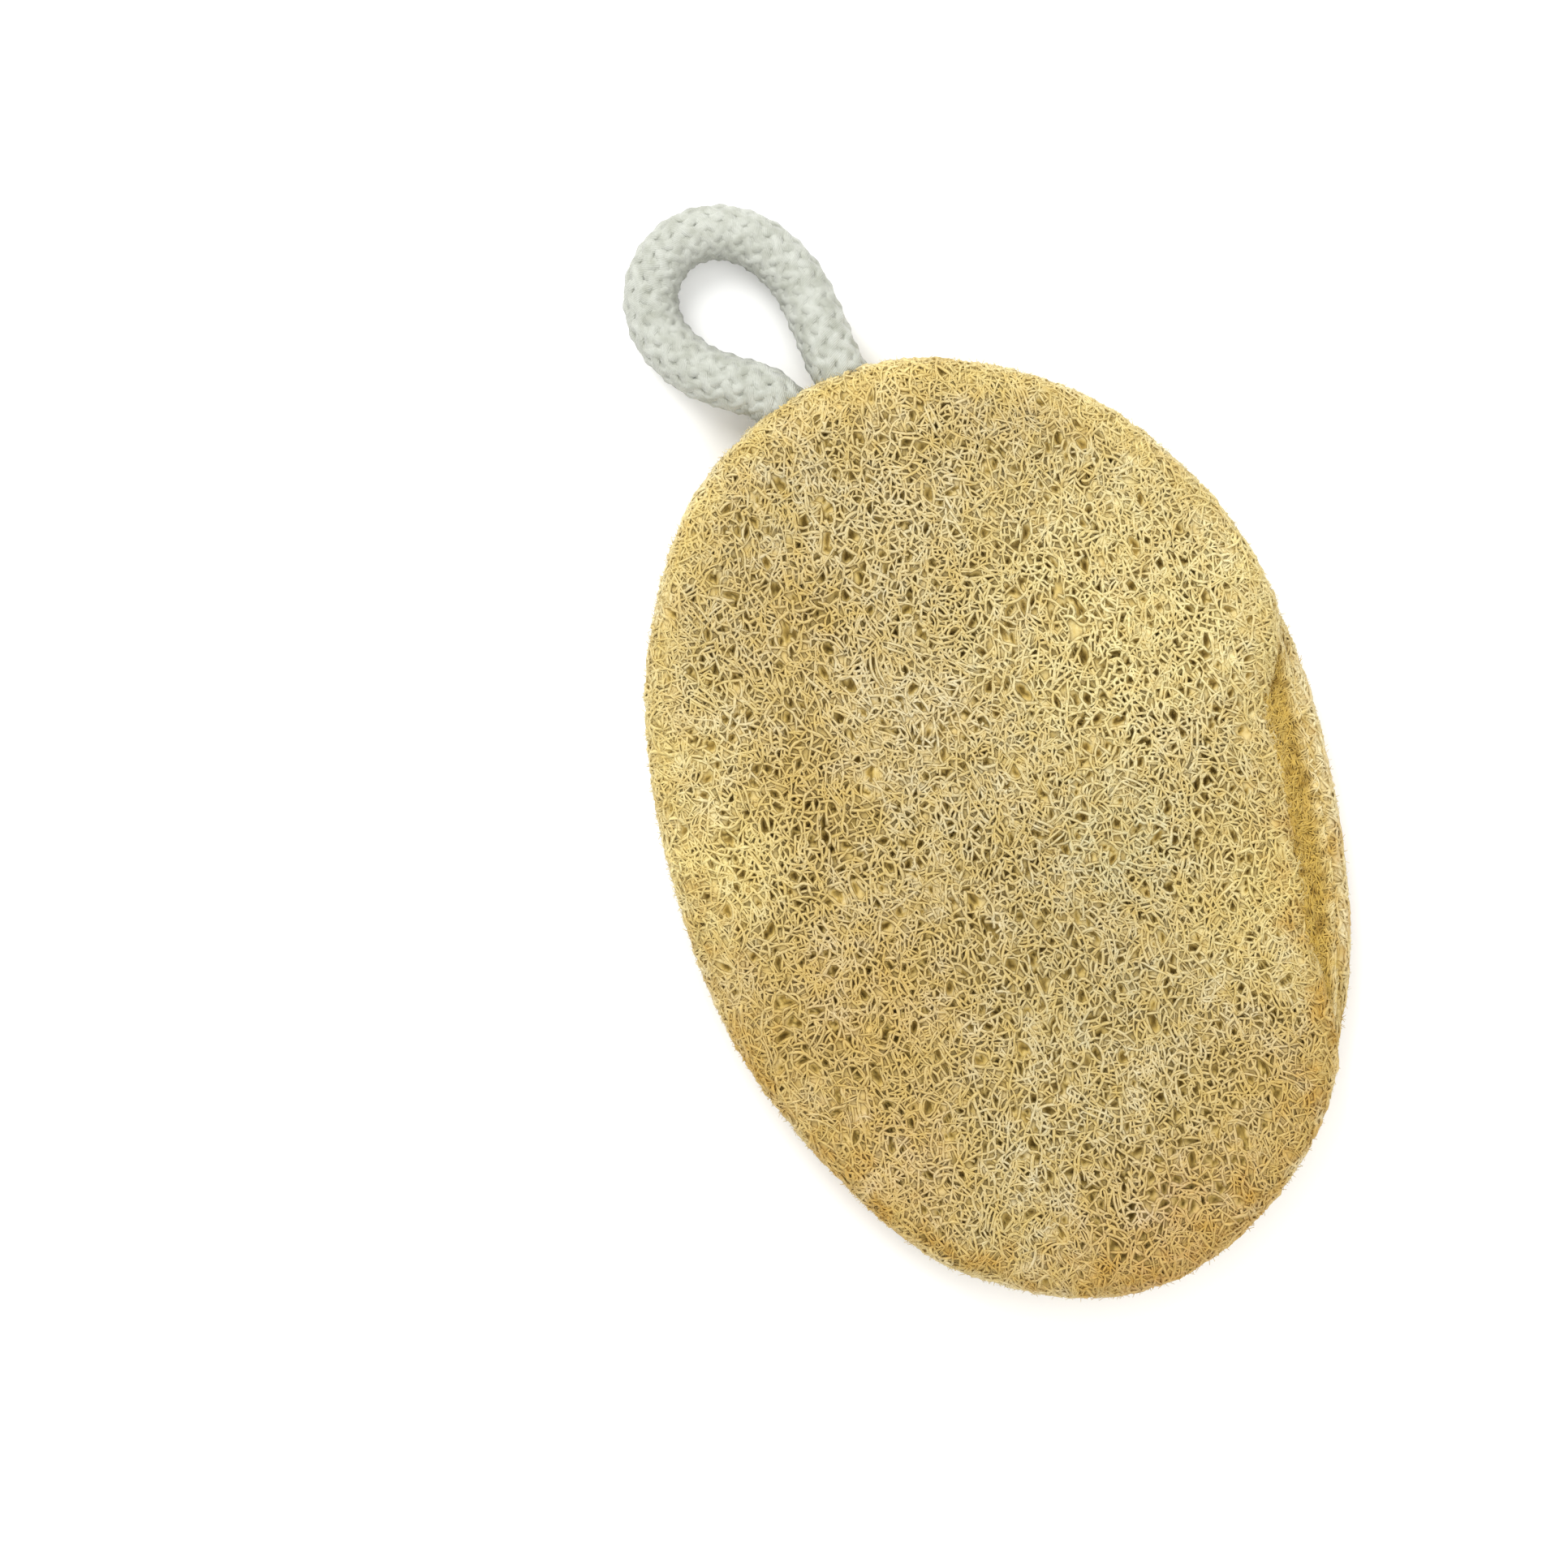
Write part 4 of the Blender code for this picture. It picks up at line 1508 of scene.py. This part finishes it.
@dataclass
class RopeLoop:
    """The braided cotton rope, in millimetres: its route, its plaits and its core."""

    route: tuple[tuple[float, float], ...] = (
        (-1.2, 66.4), (-1.9, 71.0), (-2.9, 76.2), (-3.4, 83.3), (-4.6, 90.6), (-8.4, 97.2),
        (-14.2, 100.9), (-20.8, 100.6), (-26.0, 95.9), (-27.1, 88.9), (-23.9, 82.2), (-19.2, 78.0),
        (-15.2, 75.3), (-12.8, 72.0), (-11.9, 68.6), (-11.6, 66.0))  # fmt: skip
    diameter: float = 8.5
    length: float = 88.5
    seam_height: float = 8.0
    sag_start: float = 73.0
    sag_reach: float = 21.0
    turns: float = 3.2
    plaits: int = 8
    plait_thick: float = 1.5
    plait_wide: float = 3.4
    wave: float = 0.22
    sides: int = 8
    steps: int = 150
    core_sides: int = 16
    core_share: float = 0.25
    core_levels: int = 4
    line_points: int = 120
    yarn_turns: float = 4.0  # how often the yarns' pattern goes round the rope, times two pi
    yarn_pitch: float = 0.45

    def line(self) -> np.ndarray:
        """Lays the middle of the rope, which falls from the seam to what the pad lies on.

        Returns:
            Points in the part's frame, three numbers each.
        """
        route = np.array(self.route)
        ends = np.concatenate([route[:1], route, route[-1:]])
        t = np.linspace(0, len(route) - 1, self.line_points)
        i = np.minimum(t.astype(int), len(route) - 2)
        flat = between(*(ends[i + k] for k in range(4)), (t - i)[:, None])
        fallen = smooth_step(self.sag_start, self.sag_start + self.sag_reach, flat[:, 1])
        height = self.seam_height + fallen * (self.diameter / 2 + self.wave - self.seam_height)
        return np.column_stack([flat, height])

    def plait(self, hand: int) -> bpy.types.Object:
        """Makes one plait of a straight rope.

        Args:
            hand: 1 or -1, the way it turns round the rope.

        Returns:
            A closed mesh: an oval section, turned round the axis and waved in and out.
        """
        middle = (self.diameter - self.plait_thick) / 2
        deselect()
        bpy.ops.mesh.primitive_circle_add(vertices=self.sides, radius=1.0)
        made = bpy.context.object
        bpy.ops.transform.resize(value=(self.plait_thick / 2 * MM, self.plait_wide / 2 * MM, 1))
        bpy.ops.transform.rotate(value=math.pi / 2, orient_axis="X", center_override=(0, 0, 0))
        bpy.ops.transform.translate(value=(middle * MM, 0, 0))
        bpy.ops.object.transform_apply(location=True, rotation=True, scale=True)
        apply_modifier(
            made, "SCREW", axis="Z", angle=hand * 2 * math.pi * self.turns, screw_offset=self.length * MM,
            steps=self.steps, render_steps=self.steps, merge_threshold=TINY, use_smooth_shade=True,
        )  # fmt: skip
        bpy.ops.object.mode_set(mode="EDIT")
        bpy.ops.mesh.select_all(action="SELECT")
        bpy.ops.mesh.fill_holes(sides=0)
        bpy.ops.object.mode_set(mode="OBJECT")
        half_crossing = self.length * MM / self.turns / (2 * self.plaits)
        for vertex in made.data.vertices:
            out = Vector((vertex.co.x, vertex.co.y, 0))
            wave = hand * self.wave * MM * math.cos(math.pi * vertex.co.z / half_crossing)
            vertex.co += out.normalized() * wave
        return made

    def build(self, finish: BraidedCotton) -> bpy.types.Object:
        """Braids the straight rope, bends it along its route and dresses it.

        Args:
            finish: The cotton's finish.

        Returns:
            The rope.
        """
        plaits = []
        for hand in (1, -1):
            first = self.plait(hand)
            for k in range(self.plaits):
                copy = first.copy()
                copy.data = first.data.copy()
                bpy.context.collection.objects.link(copy)
                copy.rotation_euler.z = 2 * math.pi * k / self.plaits
                plaits.append(copy)
            bpy.data.objects.remove(first)
        deselect()
        inner = self.diameter / 2 - self.core_share * self.plait_thick
        bpy.ops.mesh.primitive_cylinder_add(
            vertices=self.core_sides, radius=inner * MM, depth=self.length * MM,
            location=(0, 0, self.length / 2 * MM), end_fill_type="TRIFAN",
        )  # fmt: skip
        core = bpy.context.object
        levels = self.core_levels
        apply_modifier(core, "SUBSURF", subdivision_type="SIMPLE", levels=levels, render_levels=levels)
        pick(core, *plaits)
        bpy.ops.object.transform_apply(location=True, rotation=True, scale=True)
        bpy.ops.object.join()
        rope = bpy.context.object
        rope.name = "braided_rope_loop"
        self.unwrap(rope)
        self.bend(rope)
        face_outwards(rope)
        dress(rope, finish.make(), "rope_loop")
        return rope

    def unwrap(self, rope: bpy.types.Object) -> None:
        """Gives the straight rope its map yarn, of round and along in yarn pitches.

        Args:
            rope: The straight rope.
        """
        layer = rope.data.uv_layers.new(name="yarn")
        for loop in rope.data.loops:
            co = rope.data.vertices[loop.vertex_index].co
            across = math.atan2(co.y, co.x) * self.yarn_turns
            layer.data[loop.index].uv = (across, co.z / (self.yarn_pitch * MM))

    def bend(self, rope: bpy.types.Object) -> None:
        """Bends the straight rope along its route.

        Args:
            rope: The straight rope, which stands on the origin.
        """
        line = self.line() * MM
        along = np.concatenate([[0], np.cumsum(np.linalg.norm(np.diff(line, axis=0), axis=1))])
        spots = places_of(rope)
        at = spots[:, 2] / (self.length * MM) * along[-1]
        ahead = np.gradient(line, axis=0)
        ahead /= np.linalg.norm(ahead, axis=1)[:, None]
        side = np.cross(ahead, [0, 0, 1])
        side /= np.linalg.norm(side, axis=1)[:, None]
        up = np.cross(side, ahead)
        middle, side, up = (
            np.stack([np.interp(at, along, each[:, k]) for k in range(3)], axis=1)
            for each in (line, side, up)
        )
        moved = middle + side * spots[:, :1] + up * spots[:, 1:2]
        rope.data.vertices.foreach_set("co", moved.ravel())
        rope.data.update()


@dataclass(frozen=True)
class SeamThread:
    """The sewing thread round the seam, in millimetres: two plies twisted about its line."""

    start: float = 105.0
    end: float = 447.0
    inset: tuple[float, float] = (0.7, 6.95)
    height: tuple[float, float] = (8.0, 0.62)
    rise: int = 5
    diameter: float = 0.8
    twist: float = 2.6
    points: int = 1200

    def build(self, form: PadForm, finish: WaxedThread) -> bpy.types.Object:
        """Twists the plies along the seam and dresses them.

        Args:
            form: The front layer's surface, which gives the outline and where the lip is.
            finish: The thread's finish.

        Returns:
            The thread.
        """
        angle = np.radians(np.linspace(self.start, self.end, self.points))
        share = form.lip_share(angle)
        radius = form.outline_radius(angle) - self.inset[0] - (self.inset[1] - self.inset[0]) * share
        out = np.stack([np.cos(angle), np.sin(angle)], axis=1)
        flat = out * radius[:, None]
        along = np.concatenate([[0], np.cumsum(np.hypot(*np.diff(flat, axis=0).T))])
        lift = self.height[1] * (1 - (1 - share) ** self.rise)
        middle = np.column_stack([flat - form.middle, self.height[0] + lift])
        plies = []
        for phase in (0, math.pi):
            turn = 2 * math.pi * along / self.twist + phase
            offset = np.column_stack([out * np.cos(turn)[:, None], np.sin(turn)]) * self.diameter / 4
            plies.append(middle + offset)
        ply_radii = [np.full(self.points, self.diameter / 4)] * 2
        thread = tubes("twisted_seam_thread", plies, ply_radii, Section.FIVE, {})
        pick(thread)
        bpy.ops.object.shade_smooth()
        dress(thread, finish.make(), "seam_thread")
        return thread


@dataclass(frozen=True)
class Lamp:
    """A round lamp that points at the pad: where it stands and its width in metres, and its watts."""

    name: str
    place: tuple[float, float, float]
    size: float
    power: float

    def build(self) -> None:
        """Sets up the lamp."""
        data = bpy.data.lights.new(self.name, "AREA")
        data.shape, data.size, data.energy = "DISK", self.size, self.power
        lamp = bpy.data.objects.new(self.name, data)
        bpy.context.collection.objects.link(lamp)
        lamp.location = self.place
        lamp.rotation_euler = (-Vector(self.place)).to_track_quat("-Z", "Y").to_euler()


@dataclass
class Studio:
    """The camera, the floor and the light."""

    pixel: float = 0.125
    image_side: int = 1932
    turn: float = math.radians(-18)
    view_middle: tuple[float, float] = (-30.3, 16.5)
    aimed_height: float = 9.0
    clipped: tuple[float, float] = (0.01, 10.0)
    lens: float = 200.0
    sensor: float = 36.0
    paper: str = "#FBFBFA"
    surround: float = 1.12
    lamps: tuple[Lamp, ...] = (
        Lamp("key_light", (-0.15, 0.75, 0.7), 0.7, 7.6),
        Lamp("fill_light", (0.4, -0.4, 0.9), 0.8, 2.8),
    )

    def build(self) -> None:
        """Sets up the camera, the floor and the lights."""
        self.camera()
        self.floor()
        self.lights()

    def camera(self) -> None:
        """The camera looks straight down, turned so that the loop leans to the left."""
        width = self.pixel * self.image_side * MM
        far = width * self.lens / self.sensor
        data = bpy.data.cameras.new("camera")
        data.lens, data.sensor_width = self.lens, self.sensor
        data.clip_start, data.clip_end = self.clipped
        camera = bpy.data.objects.new("camera", data)
        bpy.context.collection.objects.link(camera)
        camera.location = (self.view_middle[0] * MM, self.view_middle[1] * MM, far + self.aimed_height * MM)
        camera.rotation_euler = (0, 0, self.turn)
        bpy.context.scene.camera = camera

    def floor(self) -> None:
        """A plain pale floor under the pad."""
        deselect()
        bpy.ops.mesh.primitive_plane_add(size=4, location=(0, 0, -0.0002))
        floor = bpy.context.object
        floor.name = "floor"
        material = bpy.data.materials.new("white_paper")
        material.use_nodes = True
        surface = material.node_tree.nodes["Principled BSDF"]
        set_node(surface, {"Base Color": linear(self.paper), "Roughness": 0.9})
        floor.data.materials.append(material)

    def lights(self) -> None:
        """A bright even surround, and the lamps: a key light from the top and a weaker fill light."""
        world = bpy.data.worlds.new("surround")
        world.use_nodes = True
        back = world.node_tree.nodes["Background"]
        set_node(back, {"Color": (1, 1, 1, 1), "Strength": self.surround})
        bpy.context.scene.world = world
        for lamp in self.lamps:
            lamp.build()
        view = bpy.context.scene.view_settings
        view.view_transform = "Standard"
        view.look = "None"


# The front layer's colour drifts, and painted shade and light: some patches darken its broad dips as
# painted shade
FRONT_COLOUR_AND_SHADE_PATCHES = (
    Patch(-32, -22, 32, "#BF9A48", 0.65),
    Patch(-28, 14, 22, "#C2A250", 0.5),
    Patch(-20, 40, 18, "#BE9C4C", 0.35),
    # painted light: the left rim paler, where the light falls on it
    Patch(-45, 8, 20, "#E8DA98", 0.8),
    Patch(-42, 28, 15, "#E8DA98", 0.55),
    Patch(30, 24, 42, "#EDE3AA", 0.7),
    Patch(35, -22, 22, "#E6D690", 0.6),
    Patch(28, -52, 22, "#BF9A48", 0.5),
    Patch(-10, 22, 17, "#DDD6BC", 0.4),
    Patch(-3, 48, 16, "#DAD2B2", 0.45),
    Patch(16, -8, 15, "#CFCDA6", 0.5),
    Patch(6, -26, 20, "#B8AF88", 0.35),
    Patch(6, -74, 30, "#B98838", 0.75),
    Patch(-32, -46, 18, "#BC9040", 0.5),
    Patch(2, 68, 20, "#E2CA80", 0.3),
)


def main() -> None:
    """Builds the set, the rope and both layers."""
    logging.basicConfig(level=logging.INFO, format="%(name)s: %(message)s")
    Studio().build()
    RopeLoop().build(BraidedCotton())
    front = LoofahLayer(
        name="front_layer", node="loofah_front_layer", form=PadForm(Side.FRONT),
        levels=(
            NetLevel(pitch=1.33, depth=0.0, radius=(0.23, 0.34), roll=0.2, jitter=0.1, dropped=0.06,
                     seed=11, stretch=1.8),
            NetLevel(pitch=1.45, depth=0.2, radius=(0.23, 0.35), roll=0.2, jitter=0.1, dropped=0.06,
                     seed=12),
        ),
        pores=Pores(count=2200, size=(0.3, 0.68), seed=71),
        loose=(
            LooseLot(count=2600, length=(3, 8), radius=(0.18, 0.28), level=(-0.15, 0.05), seed=21),
            LooseLot(count=1900, length=(2, 7), radius=(0.17, 0.26), level=(-0.2, 0.05), seed=22,
                     spread=50, band=(0.4, 13)),
            LooseLot(count=60, length=(4, 9), radius=(0.24, 0.32), level=(0.05, 0.2), seed=23,
                     spread=35, band=(10, 99), doubled=0.8, tones=(-0.4, 0.1)),
        ),
        fuzz=Fuzz(count=3000, seed=31),
    )  # fmt: skip
    back = LoofahLayer(
        name="back_layer", node="loofah_back_layer", form=PadForm(Side.BACK),
        levels=(
            NetLevel(pitch=1.65, depth=0.05, radius=(0.24, 0.35), roll=0.2, jitter=0.06, dropped=0.04,
                     seed=41),
        ),
        pores=Pores(count=1250, size=(0.3, 0.7), seed=72),
        loose=(
            LooseLot(count=1100, length=(2, 8), radius=(0.18, 0.28), level=(-0.2, 0.08), seed=51),
            LooseLot(count=1300, length=(2, 7), radius=(0.15, 0.25), level=(-0.2, 0.05), seed=52,
                     spread=50, band=(0.4, 13)),
        ),
        fuzz=Fuzz(count=1500, seed=61),
        felt_rows=190,
        stain_and_shade_reach=(1.5, 5.5),
    )  # fmt: skip
    SeamThread().build(front.form, WaxedThread())
    front.build(DriedLoofah("dried_loofah_front", patches=FRONT_COLOUR_AND_SHADE_PATCHES))
    back.build(DriedLoofah("dried_loofah_back"))


if __name__ == "__main__":
    main()
